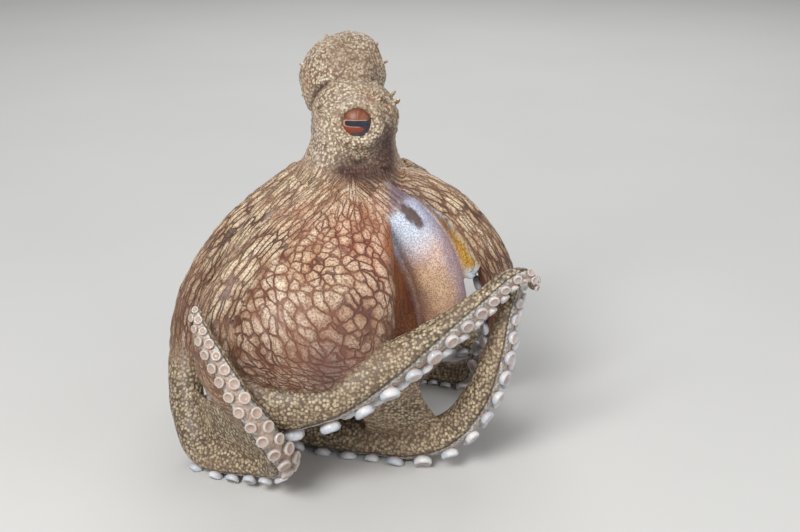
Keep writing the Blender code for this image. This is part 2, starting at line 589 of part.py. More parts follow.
# Arms, each parted into lengths, with their suckers, and the room that each length needs
rooms = []
upper_rooms = []
bpy.ops.mesh.primitive_cube_add(size=1)
floor_block = bpy.context.object
floor_block.scale = (0.6, 0.6, 0.05)
floor_block.location = (0, 0, -0.025)
for name, arm in arms.items():
    joints = [0.0] + [arm.knot(k) for k in PARTED[name]] + [arm.length]
    for i, label in enumerate(LENGTH_NAMES[len(joints) - 1]):
        s_from = joints[i] + (GAP / 2 if i else 0)
        s_to = joints[i + 1] - (GAP / 2 if i < len(joints) - 2 else 0)
        pieces = collection("pieces")
        step = TIP_STEP if label == "tip" else RING_STEP
        rings_object("tube", arm_rings(arm, s_from, s_to, step), pieces)
        clear = (3.0 if label == "bend" else 1.15) * GAP
        rooms.append(rings_object("room", with_ends(arm_rings(arm, s_from, s_to, step, clear), GAP), sockets))
        rooms.append(rings_object("sucker_room", sucker_room_rings(arm, max(s_from, 8.0), s_to), sockets))
        arm_suckers(arm, s_from, s_to, pieces)
        length = united(f"{name}_{label}", pieces)
        cutters = [head_room] + upper_rooms if i == 0 else []
        lowest = min((length.matrix_world @ v.co).z for v in length.data.vertices)
        if lowest < 0:
            cutters.append(floor_block)
        if cutters:
            cut(length, cutters)
        finished(length, octopus, (0.36, 0.28, 0.19), 0.6)
        if i == 0:
            upper_rooms += rooms[-2:]

# Webs, cut clear of the arms that they join
right_1, right_2, right_3, right_4 = (arms[f"arm_right_{i}"] for i in (1, 2, 3, 4))
left_1, left_2, left_3, left_4 = (arms[f"arm_left_{i}"] for i in (1, 2, 3, 4))
front_ribs = ([right_3.at(np.linspace(2, right_3.knot(7), 8))[0]] + [np.array(rib, float) for rib in FRONT_WEB]
              + [right_2.at(np.linspace(2, right_2.knot(4.6), 8))[0] + np.array([-5.0, 5.0, 0.0])])
corner_ribs = [right_2.at(np.linspace(2, right_2.knot(2.4), 6))[0] + np.array([2.0, 3.0, 0.0]),
               [(-5, -16, 108), (4, -17, 104), (13, -17, 97), (20, -17, 88), (25, -17, 79), WEB_CORNER],
               [(-3, -12, 108), (7, -12, 105), (18, -11, 99), (26, -10, 91), (31, -10, 82), (33, -11, 76)],
               right_1.at(np.linspace(2, right_1.knot(3.4), 6))[0]]
WEBS = {
    "web_right_2_3": front_ribs,
    "web_right_1_2": corner_ribs,
    "web_right_3_4": plain_ribs(right_3, 84, right_4, 96, 6, 0.06),
    "web_right_4_left_4": plain_ribs(right_4, 92, left_4, 92, 3, 0.08),
    "web_left_3_4": plain_ribs(left_4, 88, left_3, 84, 5, 0.12),
    "web_left_2_3": plain_ribs(left_3, 84, left_2, 80, 5, 0.12),
    "web_left_1_2": plain_ribs(left_2, 80, left_1, 78, 5, 0.12),
    "web_left_1_right_1": plain_ribs(left_1, 72, right_1, 66, 5, 0.15),
    "web_fold_right": fold_ribs(right_3, (6.0, 7.6), right_4, (6.8, 9.0)),
    "web_fold_left": fold_ribs(left_4, (6.4, 4.6), left_4, (8.4, 11.2)),
}
for name, ribs in WEBS.items():
    steps = {"web_right_2_3": FRONT_ACROSS, "web_fold_left": 3, "web_fold_right": 3}.get(name, WEB_ACROSS)
    web = web_sheet(name, ribs, sockets, steps)
    cut(web, [head_room] + rooms)
    finished(web, octopus, (0.50, 0.26, 0.18), 0.6)

# Funnel: an open tube at the back of the head, turned away from the camera's side
pieces = collection("pieces")
path = np.linspace(FUNNEL_ROOT, FUNNEL_END, 3)
way = axes_along(path[-1] - path[0])
turn = np.arange(10) * np.pi / 5
round_line = np.cos(turn)[:, None] * way[0] + np.sin(turn)[:, None] * way[2]
outer = [path[i] + round_line * FUNNEL_RADII[i] for i in range(3)]
inner = [path[i] + round_line * (FUNNEL_RADII[i] - 1.1) for i in (2, 1)]
rings_object("funnel_wall", outer + inner, pieces)
funnel = united("funnel", pieces)
cut(funnel, [head_room, grown(head, 0.45, sockets), bag("bag_room", 0.6, sockets)] + upper_rooms)
finished(funnel, octopus, (0.62, 0.48, 0.38), 0.5)

for old in list(sockets.objects) + [floor_block]:
    if old.name not in octopus.objects:
        bpy.data.objects.remove(old)
bpy.data.collections.remove(sockets)
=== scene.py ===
import math

import bpy
import numpy as np
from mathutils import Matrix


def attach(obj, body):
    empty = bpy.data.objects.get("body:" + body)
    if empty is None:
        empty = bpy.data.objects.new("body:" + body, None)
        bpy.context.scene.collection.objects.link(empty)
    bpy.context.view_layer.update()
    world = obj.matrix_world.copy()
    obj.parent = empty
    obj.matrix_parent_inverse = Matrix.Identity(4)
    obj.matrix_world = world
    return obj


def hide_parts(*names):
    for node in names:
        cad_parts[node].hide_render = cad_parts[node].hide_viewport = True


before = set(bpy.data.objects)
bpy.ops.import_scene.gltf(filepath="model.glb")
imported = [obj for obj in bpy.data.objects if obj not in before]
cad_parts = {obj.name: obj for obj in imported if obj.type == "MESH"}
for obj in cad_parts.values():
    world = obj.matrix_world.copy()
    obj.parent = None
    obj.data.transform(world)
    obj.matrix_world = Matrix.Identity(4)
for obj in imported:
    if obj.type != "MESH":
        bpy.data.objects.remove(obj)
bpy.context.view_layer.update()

# Skin: one unbroken hide over mantle, head, funnel, arms and webs. On the animal it is soft, wet and full of
# small warts; on the model it is one flexible casting, painted all round, with the eyes and suckers set in.
MM = 0.001
SHIFT = np.array([21.0, -3.0, 0.0])
EYE_RADIUS = 7.4
EYE_HEIGHT = 136.5
EYE_X = -17.0
HEAD_Y = 1.0
EYE_REACH = 13.0
LIDS_OUT = 3.6
LID_RING = 7.9
LID_THICK = 2.7
LIPS = ((-20, -3, 100.6), (0.001, 0.002, 1.0), 5.2, 1.6)
MANTLE_MIDDLE = np.array([-23.8, 18.0, 147.6])
MANTLE_AXIS = (-0.30, 0.62, 0.72)
MANTLE_HALF = np.array([16.6, 18.0, 14.6])
MANTLE_SQUARE = 2.5
MANTLE_LEAN = 0.2
FUNNEL = ((-26.0, 12.0, 128.0, 6.0), (-30.5, 21.5, 125.0, 5.0), (-35.0, 31.0, 122.0, 3.6))
FUNNEL_WALL = 1.2
CROWN = np.array([-20.0, -1.0, 112.0])
ORAL_FLAT = 0.72
RING_GAP = 1.4
WEB_THICK = 1.7
GROOVE_WIDE = 2.2
VOXEL = 0.6
SKIN_TRIANGLES = 192000
SPAN_POINTS = 16

# One row a control point: x, y, z, arm radius, and the way the suckers face there
ARMS = {
    "arm_right_1": (
        (-1, -9, 109, 7.5, -0.4, 0.2, -0.9), (10, -6, 104, 8.5, -0.5, 0.2, -0.8),
        (23, -5, 95, 8.5, -0.6, 0.3, -0.7), (34, -5, 81, 8.5, -0.8, 0.4, -0.4),
        (41, -1, 64, 8, -0.9, 0.4, -0.2), (43, 7, 46, 7.6, -0.9, 0.3, -0.3),
        (42, 17, 28, 7.2, -0.8, 0.2, -0.6), (37, 27, 13, 6.7, -0.4, 0.1, -0.9),
        (28, 34, 5.7, 6, 0, 0, -1), (14, 38, 4.7, 4.8, 0, 0, -1),
        (2, 34, 3.5, 3.4, 0, 0, -1), (-3, 26, 2.2, 2, 0, 0, -1)),
    "arm_right_2": (
        (-11, -19, 108, 7.5, 0.1, 0.4, -0.9), (-2, -21, 101, 9, -0.2, 0.6, -0.7),
        (7, -20, 90, 10, -0.4, 0.8, -0.4), (14, -19, 76, 10.4, -0.5, 0.9, -0.1),
        (17, -17, 61, 10, -0.6, 0.8, 0), (14, -12, 45, 9.4, -0.7, 0.7, 0.1),
        (5, -5, 29, 8.8, -0.7, 0.5, -0.4), (-7, 3, 15, 8, -0.4, 0.2, -0.9),
        (-20, 12, 6.6, 7, 0, 0, -1), (-32, 20, 5.4, 5.6, 0, 0, -1),
        (-44, 25, 4, 4, 0, 0, -1), (-54, 33, 2.4, 2.2, 0, 0, -1)),
    "arm_right_3": (
        (-27, -19, 109, 7.5, 0.2, 0.5, -0.9), (-40, -30, 99, 9.4, 0.4, 0.6, -0.6),
        (-55, -42, 87, 10.4, 0.5, 0.7, -0.4), (-67, -52, 69, 11, 0.5, 0.8, -0.2),
        (-66, -59, 50, 11.2, 0.4, 0.9, -0.2), (-50, -65, 39, 11.2, 0.2, 0.4, -0.9),
        (-27, -66, 41, 10.8, 0.2, 0, -1), (-4, -62, 52, 9.2, 0.4, -0.3, -0.9),
        (15, -56, 63, 7, 0.5, -0.6, -0.7), (32, -51, 75, 5, 0.5, -0.7, -0.5),
        (43, -49, 84, 3.6, 0.6, -0.7, -0.4), (50, -46, 83, 2.6, 0.8, -0.5, 0.2),
        (52, -44, 77, 1.8, 0.9, -0.3, 0)),
    "arm_right_4": (
        (-38, -11, 109, 7.5, 0.5, 0.2, -0.9), (-50, -15, 97, 8.8, 0.6, 0.2, -0.7),
        (-62, -19, 80, 9.4, 0.9, 0.2, -0.4), (-70, -22, 58, 9.6, 1, 0.2, -0.1),
        (-68, -22, 35, 9.6, 0.9, 0.2, -0.3), (-55, -21, 15, 9.5, 0.3, 0, -0.9),
        (-35, -23, 6.5, 9.4, 0, 0, -1), (-12, -30, 6.1, 9, 0, 0, -1),
        (7, -37, 7.8, 8.6, 0.2, -0.1, -1), (22, -42, 16, 8, 0.6, -0.2, -0.7),
        (33, -43, 32, 7.2, 0.9, -0.2, -0.4), (39, -43, 50, 6.2, 0.9, -0.3, -0.2),
        (42, -41, 65, 4.8, 0.9, -0.3, -0.1), (46, -37, 75, 3.4, 0.9, -0.3, 0.1),
        (48, -30, 79, 2.2, 0.9, 0, 0.4)),
    "arm_left_4": (
        (-39, 5, 109, 7.5, 0.5, -0.1, -0.9), (-54, 3, 97, 8.4, 0.6, 0, -0.7),
        (-70, 0, 82, 8.5, 0.8, 0, -0.5), (-84, -6, 60, 8.4, 1, 0.1, -0.2),
        (-88, -15, 40, 8, 0.9, 0.2, -0.4), (-87, -28, 21, 7.8, 0.6, 0.2, -0.7),
        (-80, -41, 6.8, 7.2, 0.1, 0.1, -1), (-66, -51, 6.4, 6.8, 0, 0, -1),
        (-51, -61, 10, 6.3, 0.6, -0.5, -0.6), (-45, -73, 19, 5.8, 0.8, -0.6, -0.2),
        (-49, -82, 32, 5.2, 0.5, -0.8, 0.1), (-57, -84, 47, 4.6, 0, -0.9, 0.3),
        (-65, -80, 60, 3.9, -0.3, -0.9, 0.3), (-72, -74, 71, 3, -0.4, -0.9, 0.3),
        (-76, -67, 79, 2, -0.5, -0.8, 0.3)),
    "arm_left_3": (
        (-29, 16, 109, 7.5, 0.3, -0.4, -0.9), (-43, 28, 99, 8.5, 0.4, -0.5, -0.7),
        (-56, 40, 80, 8.5, 0.6, -0.6, -0.4), (-66, 50, 54, 8.2, 0.7, -0.6, -0.2),
        (-73, 58, 28, 7.8, 0.6, -0.5, -0.6), (-77, 68, 10, 7.2, 0.2, -0.2, -1),
        (-72, 80, 5.9, 6.2, 0, 0, -1), (-60, 84, 4.9, 5, 0, 0, -1),
        (-50, 78, 3.6, 3.6, 0, 0, -1), (-48, 68, 2.2, 2, 0, 0, -1)),
    "arm_left_2": (
        (-13, 17, 109, 7.5, 0, -0.4, -0.9), (-16, 33, 98, 8.5, 0, -0.6, -0.8),
        (-19, 50, 76, 8.5, 0, -0.8, -0.5), (-22, 64, 50, 8.2, 0, -0.9, -0.3),
        (-24, 74, 26, 7.8, 0, -0.7, -0.7), (-20, 84, 9.6, 7.2, 0, -0.2, -1),
        (-8, 90, 5.9, 6.2, 0, 0, -1), (4, 86, 4.9, 5, 0, 0, -1),
        (8, 76, 3.6, 3.6, 0, 0, -1), (2, 68, 2.2, 2, 0, 0, -1)),
    "arm_left_1": (
        (-2, 7, 109, 7.5, -0.3, -0.2, -0.9), (8, 20, 98, 8.5, -0.4, -0.4, -0.8),
        (14, 35, 78, 8.5, -0.5, -0.7, -0.5), (17, 48, 53, 8.2, -0.5, -0.8, -0.3),
        (20, 59, 28, 7.8, -0.4, -0.6, -0.7), (26, 67, 10, 7.2, -0.1, -0.2, -1),
        (37, 72, 5.9, 6.2, 0, 0, -1), (47, 65, 4.9, 5, 0, 0, -1),
        (48, 54, 3.6, 3.6, 0, 0, -1), (41, 47, 2.2, 2, 0, 0, -1)),
}

# Ribs of the big web in front, from the crown down
FRONT_WEB = (
    ((-23, -21, 109), (-32, -36, 101), (-47, -54, 90), (-56, -66, 74), (-55, -72, 59), (-42, -73, 49),
     (-26, -71, 46), (-6, -62, 50)),
    ((-18, -22, 109), (-24, -38, 101), (-31, -56, 90), (-34, -69, 76), (-33, -74, 63), (-28, -74, 54),
     (-19, -71, 50), (-6, -61, 50)),
    ((-14, -22, 109), (-13, -35, 101), (-11, -50, 90), (-9, -58, 77), (-9, -62, 66), (-9, -63, 58),
     (-8, -62, 53), (-5, -59, 51)),
    ((-9, -21, 108), (-5, -32, 100), (-3.5, -42, 90), (-3, -48, 78), (-3.5, -52, 67), (-4, -54, 60),
     (-4, -55, 54), (-4, -57, 51)),
    ((-9, -19, 107), (-6, -26, 99), (-5, -31, 89), (-5, -35, 78), (-5.5, -37, 67), (-6, -39, 58),
     (-6, -43, 52), (-4, -51, 49)),
)

# Rings of the head and the arm crown, from the mouth up: height, middle x, middle y, half width, half depth
HEAD_RINGS = (
    (100.5, -20, -3, 9, 9), (101.5, -20, -3, 15, 14.5), (104, -20, -3, 20, 19.5),
    (108, -20, -2.5, 23.5, 22.5), (112, -20, -2, 23.5, 22), (116, -20, -1, 21, 19.5),
    (121, -19.5, 0, 18.5, 17), (126, -19, 0.5, 17.2, 15.6), (131, -18.5, 1, 17.2, 15),
    (136.5, -18, 1, 17.4, 14.6), (141.5, -18.5, 1, 16.2, 14), (145.5, -19, 1.5, 13.6, 12.4),
    (148.8, -19.5, 2, 9.6, 9.2), (150.6, -20, 2, 4.5, 4.5),
)
# Skin papillae of the head: foot, the way it points, height and foot radius
HEAD_PAPILLAE = (
    ((-4, -5, 141), (0.8, -0.4, 0.6), 5.5, 2), ((-8, -8, 144), (0.4, -0.5, 0.8), 4.4, 1.8),
    ((-17, -15, 122), (0, -0.9, 0.4), 4.6, 2.6), ((-7, -13.5, 119), (0.3, -0.9, 0.1), 3.6, 2.4),
    ((-31, -8, 141), (-0.7, -0.5, 0.5), 3.6, 1.8), ((-5, 9, 141), (0.8, 0.5, 0.5), 5, 1.8),
    ((-17, 16, 123), (0, 0.9, 0.4), 4, 2.4), ((-29, -12, 127), (-0.6, -0.7, 0.1), 2.8, 1.7),
)
# Those of the mantle: direction from its middle, height and foot radius
MANTLE_PAPILLAE = (
    (0.2, -0.15, 1, 3.4, 1.8), (0, -0.3, 1, 2.8, 1.7), (-0.85, -0.2, 0.3, 3.8, 1.3),
    (0.9, -0.2, 0.35, 4.2, 1.6), (-0.35, -0.75, 0.6, 2.2, 1.6), (-0.4, 0.5, 0.9, 3.6, 1.7),
    (0.8, 0.4, 0.7, 3.4, 1.6), (-1, 0.4, 0.1, 3.2, 1.6), (0.3, -0.8, 0.7, 2, 1.5),
)

# Coloured patches, and patches of painted shade: middle, reach and strength
ORANGE_PATCHES = ((-33, -57, 95, 9, 0.9), (-48, -62, 72, 12, 0.5), (-14, -58, 72, 10, 0.6),
                  (-60, -50, 70, 10, 0.5))
# Violet: partly the skin's own violet, partly painted shade in the dark hollow under the front web
VIOLET_AND_SHADE_PATCHES = ((-27, -73, 58, 9, 1.0), (0, -22, 109, 7, 1.0), (10, -20, 104, 6, 0.9),
                  (-12, -62, 56, 8, 0.5), (38, -8, 60, 13, 0.7))
# Painted shade: dark patches in the hollows under the front web
SHADE_PATCHES = ((-27, -72, 52, 6, 0.6), (-10, -62, 54, 6, 0.5))
WHITE_PATCHES = ((-31, -12, 135, 6, 1.0), (-20, -12, 147, 7, 0.8), (-27, -14, 128, 6, 0.5),
                 (-10, -14, 128, 6, 0.4), (-30, 30, 160, 12, 0.4), (-19, 16, 130, 9, 0.6))
RED_PATCHES = ((-12, -46, 92, 17, 1.0), (-14, -36, 104, 12, 0.8), (-30, -70, 66, 16, 0.5),
               (-40, -36, 102, 9, 0.6))
RUSTY_PATCHES = ((-11.5, -12, 145, 3.8, 1.0), (-30, 2, 162, 5, 0.8), (-26, 0, 154, 3, 0.5),
                 (-38, 10, 150, 5, 0.5), (-18, 34, 158, 6, 0.6), (-10, 20, 160, 5, 0.6))
# Painted shade in the creases and in the band under the head
CREASE_SHADE_PATCHES = ((-14, -19, 117, 7, 1.0), (-5, -15, 118, 6, 1.0), (-23, -18, 118, 5.5, 0.9),
                  (-14, 17, 118, 9, 0.8), (-2, -9, 130, 6, 0.9), (-3, -11, 123, 6, 0.9),
                  (-9, 6, 152, 8, 0.6), (-22, 12, 164, 11, 0.3), (-10, -14, 128, 5, 0.35))


def unit(v):
    """The vectors of an array, each divided by its length."""
    return v / np.maximum(np.linalg.norm(v, axis=-1, keepdims=True), 1e-9)


def step(low, high, value):
    """Smooth step t * t * (3 - 2t), where t is how far the value has gone from low to high, held to 0..1."""
    t = np.clip((value - low) / (high - low), 0, 1)
    return t * t * (3 - 2 * t)


def catmull(rows, at):
    """Catmull-Rom curve through the rows of an array, read at the parameters at; row k lies at k."""
    rows = np.asarray(rows, float)
    ends = np.concatenate([2 * rows[:1] - rows[1:2], rows, 2 * rows[-1:] - rows[-2:-1]])
    k = np.minimum(at.astype(int), len(rows) - 2)
    t = (at - k).reshape(-1, *[1] * (rows.ndim - 1))
    a, b, c, d = ends[k], ends[k + 1], ends[k + 2], ends[k + 3]
    return 0.5 * (2 * b + (c - a) * t + (2 * a - 5 * b + 4 * c - d) * t ** 2 + (3 * b - a - 3 * c + d) * t ** 3)


def fine_curve(rows):
    """The Catmull-Rom curve through the rows, finely cut, and the length run up to each of its points."""
    fine = catmull(rows, np.linspace(0, len(rows) - 1, SPAN_POINTS * (len(rows) - 1) + 1))
    return fine, np.concatenate([[0], np.cumsum(np.linalg.norm(np.diff(fine[:, :3], axis=0), axis=1))])


def read(at, run, fine):
    """The rows of such a curve at some distances along it."""
    return np.stack([np.interp(at, run, column) for column in fine.T], 1)


def even(rows, count):
    """The curve through the rows at count points evenly spaced by length."""
    fine, run = fine_curve(rows)
    return read(np.linspace(0, run[-1], count), run, fine)


class Arm:
    """One arm's middle line, radius and sucker direction, read at any distance from its root."""

    def __init__(self, rows):
        self.fine, self.run = fine_curve(rows)
        self.length = self.run[-1]

    def knot(self, k):
        """Distance from the root to control point k."""
        return float(np.interp(k * SPAN_POINTS, np.arange(len(self.run)), self.run))

    def at(self, s):
        """Points, radii, tangents, sucker directions and side directions at the distances s."""
        rows, line = read(s, self.run, self.fine), self.fine[:, :3]
        along = unit(read(s + 1.5, self.run, line) - read(s - 1.5, self.run, line))
        oral = unit(rows[:, 4:7] - along * np.sum(rows[:, 4:7] * along, 1, keepdims=True))
        return rows[:, :3], rows[:, 3], along, oral, np.cross(along, oral)


def quads(index, around=False):
    """Quads between neighbouring rows and columns of a grid of point numbers; around closes the columns."""
    this, that = (index, np.roll(index, -1, 1)) if around else (index[:, :-1], index[:, 1:])
    return np.stack([this[:-1], that[:-1], that[1:], this[1:]], -1).reshape(-1, 4)


def tube(rings):
    """A closed surface through a grid of rings (along, around): quads, and a fan to the middle of each end
    ring."""
    count, sides = rings.shape[:2]
    index = np.arange(count * sides).reshape(count, sides)
    points = np.vstack([rings.reshape(-1, 3), rings[0].mean(0), rings[-1].mean(0)])
    first = np.stack([np.roll(index[0], -1), index[0], np.full(sides, count * sides)], 1)
    last = np.stack([index[-1], np.roll(index[-1], -1), np.full(sides, count * sides + 1)], 1)
    return points, quads(index, True).tolist() + first.tolist() + last.tolist()


def slab(sheet, thick):
    """A sheet grid made thick: moved half the thickness each way along its normals, and closed at the rim."""
    normal = unit(np.cross(np.gradient(sheet, axis=0), np.gradient(sheet, axis=1)))
    rows, wide = sheet.shape[:2]
    index = np.arange(rows * wide).reshape(rows, wide)
    rim = np.concatenate([index[0, :-1], index[:-1, -1], index[-1, :0:-1], index[:0:-1, 0]])
    other = rim + rows * wide
    points = np.concatenate([sheet - normal * thick / 2, sheet + normal * thick / 2]).reshape(-1, 3)
    edge = np.stack([np.roll(rim, -1), rim, other, np.roll(other, -1)], 1)
    return points, quads(index).tolist() + quads(index + rows * wide)[:, ::-1].tolist() + edge.tolist()


def axes_along(direction):
    """Three axes at right angles, the second along the direction."""
    along = unit(np.asarray(direction, float))
    across = unit(np.cross(along, (0.0, 0.0, 1.0)))
    return np.stack([across, along, np.cross(across, along)])


def globe(middle, axes, half, rows=64, sides=96, swell=0.0, square=2.0):
    """A sphere whose points are moved to |x|^n + |y|^n + |z|^n = 1, n being square, then stretched to three
    half sizes; swell makes it a little uneven by a product of three slow sines."""
    up = np.linspace(-0.497, 0.497, rows)[:, None] * np.pi
    turn = np.arange(sides)[None] * 2 * np.pi / sides
    ball = np.stack([np.cos(up) * np.cos(turn), np.cos(up) * np.sin(turn), np.sin(up) + 0 * turn], -1)
    ball /= (np.abs(ball) ** square).sum(-1, keepdims=True) ** (1 / square)
    x, y, z = ball[..., :1], ball[..., 1:2], ball[..., 2:]
    uneven = 1 + swell * np.sin(5.1 * x + 1) * np.sin(4.3 * y) * np.cos(3.7 * z)
    return tube((ball * half * uneven) @ axes + middle)


def ring_band(middle, axis, radius, thick, around=72, section=18):
    """A closed ring of round section about an axis: a circle of circles."""
    axes = axes_along(axis)
    turn = np.arange(around)[:, None, None] * 2 * np.pi / around
    lean = np.arange(section)[None, :, None] * 2 * np.pi / section
    out = np.cos(turn) * axes[0] + np.sin(turn) * axes[2]
    grid = np.asarray(middle) + out * (radius + thick * np.cos(lean)) + axes[1] * thick * np.sin(lean)
    index = np.arange(around * section).reshape(around, section)
    return grid.reshape(-1, 3), quads(np.vstack([index, index[:1]]), True).tolist()


def papilla(foot, direction, height, radius):
    """A skin papilla: rings whose width follows a blunt, slightly waisted profile, sunk into its foot."""
    axes = axes_along(np.asarray(direction, float) + (0.001, 0.002, 0.0))
    part = np.array([-0.6, -0.2, 0.0, 0.2, 0.45, 0.65, 0.82, 0.94, 1.0])[:, None, None]
    width = radius * np.array([1.2, 1.15, 1.0, 0.78, 0.62, 0.58, 0.5, 0.34, 0.12])[:, None, None]
    turn = np.arange(12)[None, :, None] * np.pi / 6
    out = np.cos(turn) * axes[2] + np.sin(turn) * axes[0]
    return tube(np.asarray(foot) + axes[1] * height * part + width * out)


def arm_surface(arm):
    """Rings down an arm: round on the back, flatter on the sucker side, drawn in to a point at its tip."""
    s = np.linspace(0, arm.length, int(arm.length / RING_GAP))
    middle, radius, _, oral, side = arm.at(s)
    radius = (radius * np.sqrt(np.clip((arm.length - s) / 3.0, 0.02, 1)))[:, None]
    turn = (np.arange(28) + 0.5)[None] * 2 * np.pi / 28
    depth = np.where(np.cos(turn) > 0, ORAL_FLAT, 1.0) * radius
    return tube(middle[:, None] + side[:, None] * (radius * np.sin(turn))[..., None]
                + oral[:, None] * (depth * np.cos(turn))[..., None])


def web_sheet(ribs, rows=60, across=56):
    """A sheet through its ribs: even steps along each rib, and Catmull-Rom from rib to rib."""
    runs = np.stack([even(rib, rows) for rib in ribs])
    return catmull(runs, np.linspace(0, len(runs) - 1, across)).transpose(1, 0, 2)


def plain_ribs(arm_a, reach_a, arm_b, reach_b, bulge, recess):
    """Ribs of a web from arm to arm: its margin curves in between them, and the sheet bulges outward."""
    u = np.linspace(0, 1, 8)
    ribs = []
    for t in (0, 0.33, 0.67, 1):
        short = 1 - recess * math.sin(math.pi * t)
        from_a, from_b = (arm.at(2 + u * short * (reach - 2))[0] for arm, reach in (
            (arm_a, reach_a), (arm_b, reach_b)))
        rib = from_a * (1 - t) + from_b * t
        out = (rib - (-20, 0, 0)) * (1, 1, 0)
        ribs.append(rib + unit(out) * (bulge * math.sin(math.pi * t) * np.sin(np.pi * 0.75 * u))[:, None])
    return ribs


def fold_ribs(arm_a, knots_a, arm_b, knots_b):
    """Ribs of a small fold of web between two stretches of arm, drawn in at both margins."""
    ribs = []
    for t in (0, 0.33, 0.67, 1):
        u = 0.5 + np.linspace(-0.5, 0.5, 8) * (1 - 0.35 * math.sin(math.pi * t))
        a = arm_a.at(arm_a.knot(knots_a[0]) * (1 - u) + arm_a.knot(knots_a[1]) * u)[0]
        b = arm_b.at(arm_b.knot(knots_b[0]) * (1 - u) + arm_b.knot(knots_b[1]) * u)[0]
        ribs.append(a * (1 - t) + b * t)
    return ribs


def head_surface():
    """The head: ellipses up its middle line, eased from row to row, swollen by bell curves round each eye and
    below it, and drawn in by another under that cheek."""
    rows = catmull(HEAD_RINGS, np.linspace(0, len(HEAD_RINGS) - 1, 90))
    turn = np.arange(96)[None] * 2 * np.pi / 96
    x = rows[:, 1:2] + rows[:, 3:4] * np.cos(turn)
    y = rows[:, 2:3] + rows[:, 4:5] * np.sin(turn)
    z = rows[:, :1] + 0 * turn
    near = np.exp(-((x - EYE_X) / 8.0) ** 2 - ((z - EYE_HEIGHT) / 7.0) ** 2)
    cheek = 1.7 * np.exp(-((z - 125.5) / 3.2) ** 2) - 1.3 * np.exp(-((z - 119) / 3.0) ** 2)
    cheek = np.exp(-((x + 15) / 9.0) ** 2) * cheek
    return tube(np.stack([x, y + np.sign(y - rows[:, 2:3]) * (2.2 * near + cheek), z], -1))


def eye_middle(side):
    """Centre of the right eye, toward -Y, for side -1, and of the left eye for side 1."""
    return np.array([EYE_X, HEAD_Y + side * EYE_REACH, EYE_HEIGHT])


arms = {name: Arm(rows) for name, rows in ARMS.items()}
right_1, right_2, right_3, right_4 = (arms[f"arm_right_{i}"] for i in (1, 2, 3, 4))
left_1, left_2, left_3, left_4 = (arms[f"arm_left_{i}"] for i in (1, 2, 3, 4))
front_ribs = ([right_3.at(np.linspace(2, right_3.knot(7), 8))[0]] + [np.array(rib, float) for rib in FRONT_WEB]
              + [right_2.at(np.linspace(2, right_2.knot(4.6), 8))[0] + (-5.0, 5.0, 0.0)])
corner_ribs = [right_2.at(np.linspace(2, right_2.knot(2.4), 6))[0] + (2.0, 3.0, 0.0),
               ((-5, -16, 108), (4, -17, 104), (13, -17, 97), (20, -17, 88), (25, -17, 79), (27.5, -18, 72)),
               ((-3, -12, 108), (7, -12, 105), (18, -11, 99), (26, -10, 91), (31, -10, 82), (33, -11, 76)),
               right_1.at(np.linspace(2, right_1.knot(3.4), 6))[0]]
shells = [arm_surface(arm) for arm in arms.values()]
shells += [slab(web_sheet(front_ribs, 90, 150), WEB_THICK), slab(web_sheet(corner_ribs), WEB_THICK)]
shells += [slab(web_sheet(plain_ribs(*row)), WEB_THICK) for row in (
    (right_3, 84, right_4, 96, 6, 0.06), (right_4, 92, left_4, 92, 3, 0.08), (left_4, 88, left_3, 84, 5, 0.12),
    (left_3, 84, left_2, 80, 5, 0.12), (left_2, 80, left_1, 78, 5, 0.12), (left_1, 72, right_1, 66, 5, 0.15))]
shells += [slab(web_sheet(fold_ribs(*row)), WEB_THICK) for row in (
    (right_3, (6.0, 7.6), right_4, (6.8, 9.0)), (left_4, (6.4, 4.6), left_4, (8.4, 11.2)))]
mantle_axes = axes_along(MANTLE_AXIS) @ np.array([[1, 0, MANTLE_LEAN], [0, 1, 0], [0, 0, 1]])
shells += [head_surface(), globe(MANTLE_MIDDLE, mantle_axes, MANTLE_HALF, swell=0.035, square=MANTLE_SQUARE)]
for side in (-1, 1):
    lids = eye_middle(side) + (0.0, side * LIDS_OUT, 0.2)
    shells.append(ring_band(lids, (0.05, side, 0.12), LID_RING, LID_THICK))
shells.append(ring_band(*LIPS))
shells += [papilla(*row) for row in HEAD_PAPILLAE]
chance = np.random.default_rng(7)


def mantle_foot(way):
    """The point of the mantle's surface in a direction from its middle."""
    return MANTLE_MIDDLE + way / np.linalg.norm(way @ np.linalg.inv(mantle_axes) / MANTLE_HALF)


for *way, height, radius in MANTLE_PAPILLAE:
    way = unit(np.array(way))
    shells.append(papilla(mantle_foot(way), way, height, radius))
for way in unit(chance.normal(size=(60, 3))):
    height = chance.uniform(0.8, 1.6)
    shells.append(papilla(mantle_foot(way), way + chance.normal(size=3) * 0.25, height, height * 0.55 + 0.3))
funnel = even(FUNNEL, 14)
funnel_axes = axes_along(funnel[-1, :3] - funnel[0, :3])
turn = np.arange(40)[None, :, None] * 2 * np.pi / 40
round_line = np.cos(turn) * funnel_axes[0] + np.sin(turn) * funnel_axes[2]
outer = funnel[:, None, :3] + round_line * funnel[:, None, 3:]
inner = funnel[:, None, :3] + round_line * (funnel[:, None, 3:] - FUNNEL_WALL)
shells.append(tube(np.concatenate([outer, inner[:3:-1]])))


def mesh_piece(name, points, faces):
    """A smooth shaded mesh object from points in millimetres, its own origin at the model's."""
    mesh = bpy.data.meshes.new(name)
    mesh.from_pydata((np.asarray(points) + SHIFT) * MM, [], faces)
    mesh.polygons.foreach_set("use_smooth", np.ones(len(mesh.polygons), bool))
    made = bpy.data.objects.new(name, mesh)
    bpy.context.scene.collection.objects.link(made)
    return made


def joined(parts):
    """Several (points, faces) as one, each face list moved on by the points before it."""
    starts = np.cumsum([0] + [len(points) for points, _ in parts])
    return np.vstack([points for points, _ in parts]), [
        [start + i for i in face] for start, (_, faces) in zip(starts.tolist(), parts) for face in faces]


def applied(target):
    """Applies the modifiers of a mesh object."""
    mesh = bpy.data.meshes.new_from_object(target.evaluated_get(bpy.context.evaluated_depsgraph_get()))
    target.modifiers.clear()
    target.data = mesh


